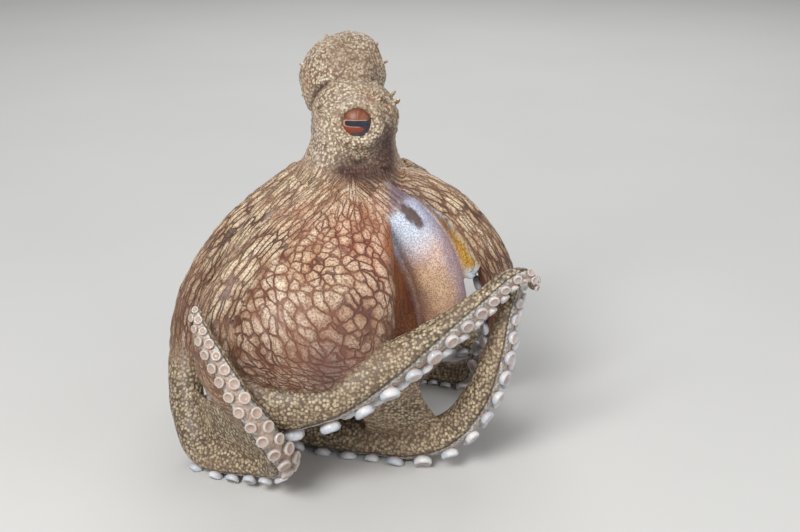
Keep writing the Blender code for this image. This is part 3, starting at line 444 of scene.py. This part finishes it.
def stored(target, name, values):
    """Keeps one number, a vector or a colour for each vertex of a mesh object under a name."""
    values = np.asarray(values, np.float32)
    kind, field = {1: ("FLOAT", "value"), 3: ("FLOAT_VECTOR", "vector"), 4: ("FLOAT_COLOR", "color")}[
        values.size // len(target.data.vertices)]
    target.data.attributes.new(name, kind, "POINT").data.foreach_set(field, values.ravel())


def read_points(target):
    """Vertex places in millimetres before SHIFT, and vertex normals."""
    places, normals = (np.empty(len(target.data.vertices) * 3, np.float32) for _ in range(2))
    target.data.vertices.foreach_get("co", places)
    target.data.vertex_normals.foreach_get("vector", normals)
    return places.reshape(-1, 3).astype(float) / MM - SHIFT, normals.reshape(-1, 3).astype(float)


def worley(points, size, seed):
    """Distance, in cube sizes, to the nearest of one random point in each cube of a lattice, and a random
    number of that point. A random part is the fraction of a large sine of the cube's three numbers."""
    scaled = points / size
    cube = np.floor(scaled)
    best, chosen = np.full(len(points), 9.0), np.zeros(len(points))
    for k in np.ndindex(3, 3, 3):
        there = cube + (np.array(k) - 1)
        mixed = there @ np.array([[127.1, 269.5, 113.5], [311.7, 183.3, 271.9], [74.7, 246.1, 124.6]]) + seed
        lot = np.modf(np.abs(np.sin(mixed) * 43758.5453))[0]
        away = np.linalg.norm(there + lot - scaled, axis=1)
        chosen = np.where(away < best, lot[:, 0], chosen)
        best = np.minimum(best, away)
    return best, chosen


def mound(distance, reach):
    """A smooth mound, (1 - (distance / reach) squared) squared, zero past the reach."""
    return np.clip(1 - (distance / reach) ** 2, 0, None) ** 2


def groove(points):
    """1 on the line where the head meets the mantle, fading at its top: a bell curve of the distances from
    both surfaces."""
    x, y, z = points.T
    heights, *columns = np.array(HEAD_RINGS).T
    mid_x, mid_y, wide, deep = (np.interp(z, heights, column) for column in columns)
    off_head = (np.hypot((x - mid_x) / wide, (y - mid_y) / deep) - 1) * deep
    ball = np.abs((points - MANTLE_MIDDLE) @ np.linalg.inv(mantle_axes) / MANTLE_HALF)
    off_mantle = ((ball ** MANTLE_SQUARE).sum(1) ** (1 / MANTLE_SQUARE) - 1) * MANTLE_HALF[0]
    near = np.exp(-(off_head ** 2 + off_mantle ** 2) / GROOVE_WIDE ** 2)
    return near * (0.3 + 0.7 * step(150.5, 147.5, z))


skin = mesh_piece("skin", *joined(shells))
remesh = skin.modifiers.new("remesh", "REMESH")
remesh.mode = "VOXEL"
remesh.voxel_size = VOXEL * MM
remesh.use_smooth_shade = True
smooth = skin.modifiers.new("smooth", "SMOOTH")
smooth.factor = 0.5
smooth.iterations = 4
applied(skin)
points, normals = read_points(skin)
on_head = step(113, 121, points[:, 2])
from_eye = np.minimum(*[
    np.linalg.norm(points - eye_middle(side) - (0, side * LIDS_OUT, 0), axis=1) for side in (-1, 1)])
off_lids = 0.3 + 0.7 * step(5.2, 9.5, from_eye)
(grain, lot), (large, large_lot), (lumps, _) = (
    worley(points, size, seed) for size, seed in ((2.2, 3.0), (4.6, 11.0), (9.0, 23.0)))
wart = mound(grain, 0.8) * (0.6 + 0.4 * lot)
knob = mound(large, 0.42) * step(0.45, 0.85, large_lot)
lift = on_head * off_lids * (0.42 * wart + 0.8 * knob + 0.6 * mound(lumps, 0.8) - 0.3)
lift += (1 - on_head) * (0.22 * mound(large, 0.7) + 0.45 * mound(lumps, 0.9) - 0.2) - 0.8 * groove(points)
places = (points + normals * lift[:, None] + SHIFT) * MM
places[:, 2] = np.maximum(places[:, 2], 0)
skin.data.vertices.foreach_set("co", places.ravel())
stored(skin, "wart", np.maximum(wart, knob))
thin = skin.modifiers.new("thin", "DECIMATE")
thin.ratio = SKIN_TRIANGLES / (2 * len(skin.data.polygons))
applied(skin)
skin.data.polygons.foreach_set("use_smooth", np.ones(len(skin.data.polygons), bool))

# Where each colour lies is kept with the skin: it follows from the nearest arm, how far along it, and the side
points, normals = read_points(skin)
gap, run, facing, turned, nearest = (np.full(len(points), v) for v in (1e9, 0.0, 0.0, 0.0, -1.0))
for number, arm in enumerate(arms.values()):
    s = np.arange(0, arm.length, 1.5)
    middle, radius, _, oral, side = arm.at(s)
    for part in np.array_split(np.arange(len(points)), 12):
        here = points[part]
        squared = (here ** 2).sum(1)[:, None] - 2 * here @ middle.T + (middle ** 2).sum(1)
        away = np.sqrt(np.maximum(squared, 0)) - radius
        i = away.argmin(1)
        clear = away[np.arange(len(part)), i]
        closer = clear < gap[part]
        chosen, i = part[closer], i[closer]
        gap[chosen], run[chosen], nearest[chosen] = clear[closer], s[i], number
        away = points[chosen] - middle[i]
        facing[chosen] = np.sum(away * oral[i], 1) / radius[i]
        turned[chosen] = np.arctan2(np.sum(away * side[i], 1), -np.sum(away * oral[i], 1))


def patches(rows):
    """Sum of bell curves round the rows' points, each with its reach and strength, held to 1."""
    return np.minimum(sum(row[4] * np.exp(-((points - row[:3]) ** 2).sum(1) / row[3] ** 2) for row in rows), 1)


def keep(name, *values):
    """Stores three numbers a vertex as a colour of the skin."""
    stored(skin, name, np.stack([*values, np.ones(len(points))], 1))


x, y, z = points.T
offset = points - CROWN
spread = np.linalg.norm(offset, axis=1)
angle = np.arctan2(offset[:, 1], offset[:, 0])
on_head = step(114, 122, z)
on_arm = step(2.0, 0.0, gap)
free_from = np.array([92, 84, 104, 98, 96, 88, 84, 80])[nearest.astype(int)]
lower = on_arm * step(-10, 8, run - free_from)
low_web = (nearest == 4) * step(100, 112, run) + (nearest == 3) * step(104, 116, run) + (nearest == 2)
lower = np.maximum(lower, low_web * (1 - on_arm) * step(46, 42, z))
outward = np.sum(normals * unit(offset * (1, 1, 0.35)), 1)
# Where the skin faces in under the webs it gets painted shade, a dark orange-brown
shaded_inside = step(0.05, -0.4, outward) * step(108, 100, z) * (1 - lower)
front = np.exp(-((x + 22) / 30) ** 2 - ((y + 62) / 26) ** 2 - ((z - 80) / 26) ** 2)
foot = step(62, 46, z)
fine = 36 - 15 * front + 6 * foot
length_way = np.interp(spread, (0, 30, 60, 90, 150), (0, 7, 16, 27, 54))
length_way *= 1 + 0.25 * front + 0.3 * foot + 0.5 * step(-25, -70, x)
stored(skin, "crown", np.stack([fine * np.cos(angle), fine * np.sin(angle), length_way], 1))
stored(skin, "sleeve", np.stack([12 * np.cos(turned), 12 * np.sin(turned), run * 0.27 + 40 * nearest], 1))
pale_fold = (nearest == 1) * step(3.0, 1.0, gap) * step(9, 13, run) * step(92, 78, run)
yellow_fold = np.isin(nearest, (0, 1)) * step(0.2, 1.6, gap) * step(3, 8, x) * step(-6, -9, y) * step(64, 73, z)
# The cleft beside the front web gets the same painted shade
cleft = step(-7.5, -5.0, x) * step(12, 8, x) * step(-48, -43, y) * step(-8, -12, y)
cleft = cleft * step(42, 50, z) * step(104, 98, z)
shaded_inside = np.maximum(shaded_inside, cleft * (1 - pale_fold) * (1 - lower))
# The pale fold is also tinted violet where it faces right, away from the key light: painted shade
violet_and_shade = np.maximum(patches(VIOLET_AND_SHADE_PATCHES), 0.9 * pale_fold * step(0.35, 0.85, normals[:, 0]))
keep("where", lower, 0.5 + 0.5 * np.clip(facing, -1, 1) * on_arm, shaded_inside)
keep("folds", pale_fold, run / 80, yellow_fold)
keep("tint", patches(ORANGE_PATCHES), violet_and_shade, patches(RED_PATCHES))
# The third channel of upper is painted shade: in the creases, under the head, and in the groove where head
# meets mantle
keep("upper", on_head, patches(RUSTY_PATCHES), np.maximum(patches(CREASE_SHADE_PATCHES), groove(points)))
pale_edge = yellow_fold * np.maximum(step(78, 74, z), step(2.6, 1.2, gap) * (nearest == 0))
sleeved = step(2.5, 0.0, gap) * (1 - lower) * (1 - on_head)
puff = (1 - on_head) * (1 - lower) * (1 - pale_fold) * (1 - 0.6 * shaded_inside) * step(0.5, 3.0, z)
stored(skin, "sleeved", sleeved)
stored(skin, "puff", puff)
seen_up = 0.94 * z + 0.342 * y
along, across = x - 4.6 - (seen_up - 86.4), x - 4.6 + (seen_up - 86.4)
# A painted dark hole near the root of arm_right_2: painted shade
painted_dark_hole = step(1.15, 0.85, np.hypot(along / 9.0, across / 3.4)) * (nearest == 1) * (y < -20)
brown_side = step(2, -3, x - 42 + 0.25 * seen_up)
keep("deep", np.maximum(patches(SHADE_PATCHES), painted_dark_hole), pale_edge, brown_side)
fold_top = (nearest == 1) * step(13, 8, run) * step(3.0, 1.0, gap) * step(-6, -2, x)
keep("shoulder", sleeved, patches(WHITE_PATCHES), fold_top)


class Shade:
    """An output socket in a node tree. Arithmetic on it adds Math nodes; node() adds any other node."""

    def __init__(self, tree, socket=None):
        self.tree, self.socket = tree, socket

    def node(self, kind, settings=None, sockets=None, out=0):
        """A node of a type: its settings, the values or links of its sockets, and one of its outputs."""
        made = self.tree.nodes.new(kind)
        for key, value in (settings or {}).items():
            setattr(made, key, value)
        for key, value in (sockets or {}).items():
            if isinstance(value, Shade):
                self.tree.links.new(value.socket, made.inputs[key])
            else:
                made.inputs[key].default_value = value
        return made if out is None else Shade(self.tree, made.outputs[out])

    def math(self, operation, *values):
        """A Math node on this value and others."""
        return self.node("ShaderNodeMath", {"operation": operation}, dict(enumerate(values)))

    def __add__(self, other):
        return self.math("ADD", self, other)

    def __sub__(self, other):
        return self.math("SUBTRACT", self, other)

    def __rsub__(self, other):
        return self.math("SUBTRACT", other, self)

    def __mul__(self, other):
        return self.math("MULTIPLY", self, other)

    __radd__, __rmul__ = __add__, __mul__

    def rise(self, low, high):
        """Smooth step of this value from low to high; it falls where low is above high."""
        return self.node("ShaderNodeMapRange", {"interpolation_type": "SMOOTHSTEP"},
                         {"Value": self, "From Min": low, "From Max": high})

    def mix(self, one, other):
        """Colour one where this factor is 0 and the other where it is 1; a paint is given by its code."""
        one, other = (paint(colour) if isinstance(colour, str) else colour for colour in (one, other))
        return self.node("ShaderNodeMix", {"data_type": "RGBA"}, {0: self, 6: one, 7: other}, 2)

    def channels(self):
        """The three numbers of this colour."""
        return [self.node("ShaderNodeSeparateColor", None, {0: self}, k) for k in range(3)]

    def attribute(self, name, out=0):
        """What is kept with the mesh under a name, as a Color, Vector or Fac."""
        return self.node("ShaderNodeAttribute", {"attribute_name": name}, out=out)

    def noise(self, scale, detail=2.0, out=0):
        """Noise at this place, with so many waves a unit."""
        return self.node("ShaderNodeTexNoise", None, {"Vector": self, "Scale": scale, "Detail": detail}, out)

    def cells(self, scale, feature="F1", out="Distance", uneven=1.0):
        """Cells at this place: distance to the nearest centre, or to the edge between cells."""
        return self.node("ShaderNodeTexVoronoi", {"feature": feature},
                         {"Vector": self, "Scale": scale, "Randomness": uneven}, out)

    def moved(self, by, amount):
        """This place moved by a colour times an amount."""
        return self.node("ShaderNodeVectorMath", {"operation": "MULTIPLY_ADD"},
                         {0: by, 1: (amount,) * 3, 2: self})


def paint(code):
    """The linear colour of a paint's six-digit sRGB code."""
    parts = (int(code[k:k + 2], 16) / 255 for k in (0, 2, 4))
    return (*(c / 12.92 if c <= 0.04045 else ((c + 0.055) / 1.055) ** 2.4 for c in parts), 1)


def layered(colour, *layers):
    """A colour with others laid over it in turn, each by its own factor."""
    for factor, over in layers:
        colour = factor.mix(colour, over)
    return colour


def new_material(name):
    """A material with a Principled shader, its node tree, and the piece's own object coordinates."""
    made = bpy.data.materials.new(name)
    made.use_nodes = True
    tree = Shade(made.node_tree)
    return made, made.node_tree.nodes["Principled BSDF"], tree, tree.node("ShaderNodeTexCoord", out="Object")


def connect(tree, shader, **links):
    """Links values to a shader's sockets, whose names are given with _ for a space."""
    for name, value in links.items():
        tree.tree.links.new(value.socket, shader.inputs[name.replace("_", " ")])


# Cells of the web, which fan out from the crown, and of the upper arms, drawn out along each arm: how many to a
# unit of their coordinates, then the waves a metre and the amount of the noise that bends them
NETS = {"crown": (0.42, 150, 2.6), "sleeve": (0.40, 190, 1.6)}


def bent(at, place, waves, amount):
    """Cell coordinates bent by noise, so that no cell has straight sides."""
    return at.moved(place.noise(waves, 2.0, 1), amount)


# The cells stand up from the skin as low cushions, worked out by nodes that move the mesh along its normals
relief = bpy.data.node_groups.new("relief", "GeometryNodeTree")
for way in ("INPUT", "OUTPUT"):
    relief.interface.new_socket("Geometry", in_out=way, socket_type="NodeSocketGeometry")
tree = Shade(relief)
place = tree.node("GeometryNodeInputPosition")
sleeved, puff = (tree.node("GeometryNodeInputNamedAttribute", {"data_type": "FLOAT"}, {"Name": name})
                 for name in ("sleeved", "puff"))
cushions = []
for name, (size, waves, amount) in NETS.items():
    at = tree.node("GeometryNodeInputNamedAttribute", {"data_type": "FLOAT_VECTOR"}, {"Name": name})
    cushions.append(bent(at, place, waves, amount).cells(size).rise(0.85, 0.15))
rise = (cushions[0] + sleeved * (cushions[1] - cushions[0]) - 0.4) * puff * 0.00055
lifted = tree.node("ShaderNodeVectorMath", {"operation": "SCALE"},
                   {0: tree.node("GeometryNodeInputNormal"), "Scale": rise})
moved = tree.node("GeometryNodeSetPosition", None, {"Geometry": tree.node("NodeGroupInput"), "Offset": lifted})
tree.node("NodeGroupOutput", None, {"Geometry": moved}, None)
skin.modifiers.new("relief", "NODES").node_group = relief
applied(skin)

hide, shader, tree, place = new_material("octopus_hide")
wart_tone = tree.attribute("wart", "Fac")
is_lower, faces_oral, is_shaded_inside = tree.attribute("where").channels()
is_pale, down_fold, is_yellow = tree.attribute("folds").channels()
orange, violet_and_shade, red = tree.attribute("tint").channels()
is_head, rusty, crease_shade = tree.attribute("upper").channels()
# The first channel of deep is painted shade in the hollows and the dark hole
hollow_shade, margin, leftward = tree.attribute("deep").channels()
on_sleeve, whiter, fold_top = tree.attribute("shoulder").channels()
speck = place.cells(1150).rise(0.56, 0.30)
dots = place.cells(1500).rise(0.60, 0.34)
up_place = place.node("ShaderNodeSeparateXYZ", None, {0: place}, 2)
# low is a mask for painted shade that grows toward the floor; feet grows toward the feet of the webs
low, feet = up_place.rise(0.104, 0.055), up_place.rise(0.074, 0.058)
below_crown = 0.55 + 0.45 * up_place.rise(0.113, 0.098)
drift = place.noise(45, 3.0)
patchy = place.noise(38, 2.0).rise(0.40, 0.60)
broad = place.noise(75, 2.0).rise(0.38, 0.64)


def netted(name, pale, between, lines):
    """Colour and height of one net of the skin: rounded cells, pale in the middle and finely dotted, each
    parted in a few by threads, between lines of varied width. Then come the paints of cells, gaps and lines."""
    scale, waves, amount = NETS[name]
    at = bent(tree.attribute(name, "Vector"), place, waves, amount)
    edge, middle = at.cells(scale, "DISTANCE_TO_EDGE"), at.cells(scale)
    lot = at.cells(scale, out="Color").channels()[0]
    small_edge = at.cells(scale * 2.3, "DISTANCE_TO_EDGE")
    line = edge.rise(0.085 + 0.06 * broad, 0.01 + 0.03 * broad) * (0.7 + 0.3 * broad) * below_crown
    thread = small_edge.rise(0.13, 0.02) * (0.45 + 0.45 * feet)
    gap = middle.rise(0.55, 0.9) * (0.35 + 0.35 * broad) * below_crown
    colour = layered(
        middle.rise(0.72, 0.22).mix("AC8868", pale), (lot * 0.35, "C09C80"), (red * 0.42, "CE8664"),
        (orange * 0.6, "C28A50"), (violet_and_shade * 0.7, "6C5C74"), (thread, "8A5A42"), (speck * 0.62, "704A3A"),
        (gap, between), (line * 0.92, patchy.mix(*lines)))
    return colour, edge.rise(0.0, 0.13) * 0.45


web_colour, web_height = netted("crown", "ECDCC0", "7E4634", ("6E3226", "562C24"))
sleeve_colour, sleeve_height = netted("sleeve", "E0D0AE", "866850", ("64422F", "4A3226"))
# The webs darken toward the floor: painted shade
web_colour = layered(web_colour, (on_sleeve, (red * 0.2).mix(sleeve_colour, "8E5040")), (0.56 * low, "64422F"))

# The free lengths of the arms: pale cobbles on olive brown, a dark line and a pale frill beside the suckers
sprinkle = place.moved(place.noise(420, 1.0, 1), 0.0005)
lot = sprinkle.cells(750, out="Color", uneven=0.85).channels()[0]
spot = sprinkle.cells(750, uneven=0.85).rise(0.70, 0.30)
belt = faces_oral.rise(0.62, 0.65) * faces_oral.rise(0.70, 0.67)
arm_colour = layered(
    drift.rise(0.3, 0.7).mix("503F30", "6E5844"), (spot * (0.8 + 0.2 * patchy), lot.mix("8E7A60", "C8B898")),
    (drift.rise(0.45, 0.75) * 0.15, "A88872"), (belt * 0.7, "2E2824"),
    (faces_oral.rise(0.68, 0.72), spot.mix("94887E", "C4C2BC")),
    (faces_oral.rise(0.78, 0.84), drift.rise(0.3, 0.7).mix("A48A78", "BCA898")))

# Under sides and the deep cleft beside the front web, painted with shade as a dark orange-brown, and the smooth
# pale and yellow folds that show in the cleft
inside_shade_colour = layered(drift.rise(0.25, 0.75).mix("80442A", "A86A42"), (dots * 0.45, "55301F"))
fold_colour = layered(
    down_fold.rise(0.22, 0.42).mix("DAE6F2", patchy.mix("E0BC98", "DCC0B8")),
    (down_fold.rise(0.50, 0.95), "B0765E"), (violet_and_shade * 0.6, "A092B8"),
    (dots * 0.55, down_fold.rise(0.25, 0.45).mix("7A6C88", "7A5048")))
top_colour = (dots * 0.5).mix("7C6672", "4A3A48")
yellow_colour = layered(leftward.mix("CC9A2C", "8A6040"), (dots * 0.75, "74502C"), (margin, "B4BCC2"))

# Head and mantle: cream granules, brown between them, rust patches, and painted shade in the creases and under
# the head
pebble = place.moved(place.noise(300, 1.0, 1), 0.0008).cells(780)
top = pebble.rise(0.68, 0.28)
granule = layered(
    patchy.mix("987C62", "785E4C"), (top, broad.mix("BEAA8C", "DACCB0")),
    (wart_tone.rise(0.25, 0.75) * 0.5, "E2D6BC"), (drift.rise(0.5, 0.75) * 0.3, "A89AA0"),
    (whiter * 0.55, top.mix("B29C82", "E4DAC4")), (rusty * 0.65, top.mix("743824", "A8704E")),
    (speck * 0.4, "6E5040"))

# All of these laid over one another, and the fine relief of each
colour = layered(
    web_colour, (is_shaded_inside, inside_shade_colour), (is_lower, arm_colour), (is_pale, fold_colour),
    (fold_top * 0.85, top_colour), (is_yellow, yellow_colour), (is_head, granule),
    # The last two layers are painted shade: in the creases and under the head, then in the hollows under the
    # front web
    (crease_shade * 0.92, top.mix("3A1E18", "56362A")), (hollow_shade * 0.95, "50382F"))
grain = place.noise(1300, 2.0)
on_web = (1 - is_head) * (1 - is_lower) * (1 - is_pale)
height = web_height + on_sleeve * (sleeve_height - web_height)
height = height * on_web + spot * is_lower * 0.26 + top * is_head * 0.36 + grain * 0.14
bump = tree.node("ShaderNodeBump", None, {"Height": height, "Distance": 0.001, "Strength": 0.9})
rough = 0.42 + 0.22 * grain + 0.10 * is_head
connect(tree, shader, Base_Color=colour, Roughness=rough, Normal=bump)
shader.inputs["Coat Weight"].default_value = 0.12
shader.inputs["Coat Roughness"].default_value = 0.25
skin.data.materials.append(hide)
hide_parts(*[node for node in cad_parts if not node.startswith(("eye", "beak"))])
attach(skin, "root")

# Suckers: two staggered rows of fleshy cups down every arm, each a short stalk that flares to a pale soft rim.
# On the model they are cast in one strip an arm and glued to its sucker side, pressed flat where the arm lies.
SUCKER_FROM = {"arm_right_1": 1.6, "arm_right_2": 1.6, "arm_right_3": 2.0, "arm_right_4": 2.0,
               "arm_left_4": 2.0, "arm_left_3": 1.8, "arm_left_2": 1.8, "arm_left_1": 1.8}
CUP = np.array([(0.52, -1.0), (0.66, -0.05), (0.97, 0.24), (1.0, 0.60), (0.84, 0.80), (0.56, 0.50)])
CUP_SIDES = 10
CUP_GAP = 1.36
OFF_FLOOR = 0.02


def sucker_strip(name, arm, first):
    """Cups along an arm: rings of the cup's profile (width, height), scaled by 0.7 + 0.35 of the arm's radius,
    each standing on its side of the arm; the step from one to the next is CUP_GAP times a cup's radius."""
    places = [first]
    while places[-1] < arm.length - 1.0:
        places.append(places[-1] + CUP_GAP * (0.7 + 0.35 * arm.at(np.array(places[-1:]))[1][0]))
    s = np.array(places[:-1])
    middle, radius, along, oral, side = arm.at(s)
    draw = np.random.default_rng(len(s))
    size = (0.7 + 0.35 * radius) * draw.uniform(0.93, 1.07, len(s))
    hand = np.where(np.arange(len(s)) % 2, 1.0, -1.0)[:, None]
    lying = step(0.75, 0.98, -oral[:, 2]) * step(16, 9, middle[:, 2])
    base = middle + oral * (ORAL_FLAT * radius * (0.92 - 0.12 * lying))[:, None] \
        + side * hand * (radius * (0.46 + 0.22 * lying))[:, None]
    axis = unit(oral + side * hand * (0.34 + 0.5 * lying)[:, None] + along * draw.normal(0, 0.10, (len(s), 1)))
    flat = unit(np.cross(axis, along))
    other = np.cross(axis, flat)
    turn = (np.arange(CUP_SIDES)[None] + draw.uniform(size=(len(s), 1))) * 2 * np.pi / CUP_SIDES
    round_line = np.cos(turn)[..., None] * flat[:, None] + np.sin(turn)[..., None] * other[:, None]
    grid = base[:, None, None] + size[:, None, None, None] * (
        round_line[:, None] * CUP[None, :, None, :1] + axis[:, None, None] * CUP[None, :, None, 1:])
    ends = base[:, None] + (size[:, None] * [[-1.0, 0.40]])[..., None] * axis[:, None]
    points = np.concatenate([grid.reshape(len(s), -1, 3), ends], 1)
    rings = len(CUP)
    index = np.arange(rings * CUP_SIDES).reshape(rings, CUP_SIDES)
    one = quads(index, True)[:, ::-1]
    foot, bottom = (np.full(CUP_SIDES, rings * CUP_SIDES + k) for k in (0, 1))
    fans = np.concatenate([np.stack([foot, index[0], np.roll(index[0], -1)], 1),
                           np.stack([bottom, np.roll(index[-1], -1), index[-1]], 1)])
    step_on = (np.arange(len(s)) * points.shape[1])[:, None, None]
    faces = (one[None] + step_on).reshape(-1, 4).tolist() + (fans[None] + step_on).reshape(-1, 3).tolist()
    flattened = points.reshape(-1, 3)
    flattened[:, 2] = np.maximum(flattened[:, 2], OFF_FLOOR)
    made = mesh_piece(name, flattened, faces)
    up_cup = np.concatenate([np.repeat(np.arange(rings) / rings, CUP_SIDES), [0.0, 1.0]])
    stored(made, "up_cup", np.tile(up_cup, len(s)))
    tan = step(9, 14, base[:, 2]) * (name == "suckers_left_4")
    tan += 0.6 * step(45, 70, base[:, 2]) * (name == "suckers_right_3")
    stored(made, "tan", np.repeat(tan, points.shape[1]))
    return made


cup_skin, shader, tree, place = new_material("sucker_flesh")
up_cup, tan = tree.attribute("up_cup", "Fac"), tree.attribute("tan", "Fac")
mottle = place.noise(160, 2.0).rise(0.35, 0.65)
stalk = mottle.mix("9C7A6A", "BCA496")
rim = mottle.mix("B8BEC6", "DAD8D8")
cup = mottle.mix("BE9E90", "D4C4BA")
in_cup = up_cup.rise(0.68, 0.82)
colour = layered(stalk, (up_cup.rise(0.12, 0.30), rim), (in_cup, cup),
                 (tan * 0.75, in_cup.mix("C0B0A4", "A89080")))
fine = place.noise(1800, 2.0)
bump = tree.node("ShaderNodeBump", None, {"Height": fine, "Distance": 0.00015, "Strength": 0.8})
connect(tree, shader, Base_Color=colour, Roughness=0.28 + 0.2 * fine, Normal=bump)
shader.inputs["Coat Weight"].default_value = 0.2
shader.inputs["Subsurface Weight"].default_value = 0.25
shader.inputs["Subsurface Radius"].default_value = (1.0, 0.7, 0.6)
shader.inputs["Subsurface Scale"].default_value = 0.0015
for name, first in SUCKER_FROM.items():
    strip = sucker_strip(name.replace("arm", "suckers"), arms[name], arms[name].knot(first))
    strip.data.materials.append(cup_skin)
    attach(strip, "root")

# Eyes: globes under heavy lids, copper iris with a level slit pupil that ends in a dark crescent in front. On
# the model they are turned acrylic balls, painted and lacquered, each pushed into its socket behind the lids.
iris, shader, tree, place = new_material("eye_iris")
flat_place = tree.node("ShaderNodeUVMap", {"uv_map": "iris"})
across, up = (tree.node("ShaderNodeSeparateXYZ", None, {0: flat_place}, k) for k in (0, 1))
turn_way = across.math("ARCTAN2", up, across) * 3.0
rays = tree.node("ShaderNodeCombineXYZ", None, {0: turn_way, 1: 0.0}).noise(2.4, 4.0)


def oval(u, v, wide, high, power=2):
    """1 at the edge of an oval about (u, v), less inside it: the root of the sum of the scaled offsets'
    powers, which nears a rectangle as the power grows."""
    a, b = (across - u) * (1 / wide), (up - v) * (1 / high)
    total = a.math("POWER", a.math("ABSOLUTE", a), power) + b.math("POWER", b.math("ABSOLUTE", b), power)
    return total.math("POWER", total, 1 / power)


slit = oval(0.0, 0.06, 0.60, 0.155, 4)
patch = oval(-0.14, -0.26, 0.50, 0.17)
crescent = patch.rise(1.0, 1.16) * up.rise(0.0, -0.06) * (across - 0.5 * up).rise(-0.2, 0.1)
crescent = crescent.math("MAXIMUM", crescent, across.rise(0.50, 0.60) * up.rise(0.30, 0.18))
# A dark rim where the iris goes under the lids: painted shade
lid_shade_ring = oval(0.0, 0.0, 0.78, 0.78)
colour = layered(
    up.rise(-0.1, 0.5).mix("84442A", "8E5636"), (rays.rise(0.35, 0.62) * 0.75, "5C2616"),
    # The pale streaks in the upper iris are a painted highlight
    (rays.rise(0.40, 0.28) * up.rise(0.15, 0.35) * 0.5, "CFA090"), (up.rise(-0.05, -0.12) * 0.5, "96412A"),
    (slit.rise(1.32, 1.10) * (1 - crescent) * 0.8, "CFA898"),
    (crescent, up.rise(-0.6, 0.0).mix("4A4650", "262838")), (slit.rise(1.10, 0.98), "1C202C"),
    (lid_shade_ring.rise(0.84, 1.0) * 0.7, "5A3424"))
connect(tree, shader, Base_Color=colour, Roughness=0.38 + 0.15 * rays)
shader.inputs["Coat Weight"].default_value = 0.06
shader.inputs["Coat Roughness"].default_value = 0.15
for side, name in ((-1, "eye_right"), (1, "eye_left")):
    ball_points, ball_faces = globe((0, 0, 0), np.eye(3), np.ones(3), 48, 64)
    turned = ball_points[:, [0, 2, 1]] @ axes_along((0.05, side, 0.12))
    ball = mesh_piece(name + "_ball", turned * EYE_RADIUS + eye_middle(side), ball_faces)
    corners = np.empty(len(ball.data.loops), np.int32)
    ball.data.loops.foreach_get("vertex_index", corners)
    plane = turned[:, [0, 2]].astype(np.float32)
    ball.data.uv_layers.new(name="iris").data.foreach_set("uv", plane[corners].ravel())
    ball.data.materials.append(iris)
    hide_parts(name)
    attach(ball, "root")

# Beak: two dark horny jaws in the ring of lips between the arm roots, seen only from under the webs. On the
# model it is one casting with a hooked tip, pushed up into the mouth.
horn, shader, tree, place = new_material("beak_horn")
streak = place.noise(300, 3.0)
connect(tree, shader, Base_Color=streak.rise(0.35, 0.65).mix("1C120C", "4A2C18"),
        Roughness=0.25 + 0.2 * streak)
beak_points, beak_faces = globe((0, 0, 0), np.eye(3), np.array([3.3, 3.3, 4.1]), 24, 32)
pinch = 1 - 0.45 * step(0.0, -4.1, beak_points[:, 2])
beak_points[:, 1] = beak_points[:, 1] * pinch
beak_points[:, 0] = beak_points[:, 0] * pinch + 0.9 * step(-1.0, -4.1, beak_points[:, 2])
beak = mesh_piece("beak_jaws", beak_points + (-20, -3, 101), beak_faces)
beak.data.materials.append(horn)
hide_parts("beak")
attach(beak, "root")

# Studio: a plain pale floor that the arms rest on, soft lights all round, and the camera at the photo's angle
ground, shader, tree, place = new_material("studio_floor")
connect(tree, shader, Base_Color=place.noise(6, 3.0).mix("C9C8C5", "D2D1CE"))
shader.inputs["Roughness"].default_value = 0.8
FLOOR_HALF, FLOOR_DROP = 4, 0.0001
line = np.linspace(-FLOOR_HALF, FLOOR_HALF, 9)
corner_u, corner_v = np.meshgrid(line, line, indexing="ij")
floor_points = np.stack([corner_u, corner_v, 0 * corner_u - FLOOR_DROP], -1).reshape(-1, 3) / MM - SHIFT
floor = mesh_piece("floor", floor_points, quads(np.arange(81).reshape(9, 9)).tolist())
floor.data.materials.append(ground)


def soft_light(name, place, power, size):
    """A square light that faces the middle of the octopus."""
    lamp = bpy.data.lights.new(name, "AREA")
    lamp.energy, lamp.size = power, size
    made = bpy.data.objects.new(name, lamp)
    bpy.context.scene.collection.objects.link(made)
    x, y, z = place[0], place[1], place[2] - 0.07
    made.location = place
    made.rotation_euler = (math.atan2(math.hypot(x, y), z), 0, math.atan2(x, -y))


soft_light("key", (-0.40, -0.80, 0.85), 13, 0.5)
soft_light("fill", (0.85, -0.65, 0.45), 4, 0.9)
soft_light("back", (0.1, 0.9, 0.9), 6, 0.9)
world = bpy.data.worlds.new("studio")
world.use_nodes = True
world.node_tree.nodes["Background"].inputs["Color"].default_value = (0.80, 0.82, 0.85, 1)
world.node_tree.nodes["Background"].inputs["Strength"].default_value = 0.36
bpy.context.scene.world = world
bpy.context.scene.view_settings.view_transform = "Standard"
lens = bpy.data.cameras.new("camera")
lens.lens, lens.sensor_width = 60, 36
camera = bpy.data.objects.new("camera", lens)
bpy.context.scene.collection.objects.link(camera)
pitch, reach = math.radians(20), 0.560
camera.location = (0.021, -0.003 - reach * math.cos(pitch), 0.071 + reach * math.sin(pitch))
camera.rotation_euler = (math.radians(70), 0, 0)
bpy.context.scene.camera = camera
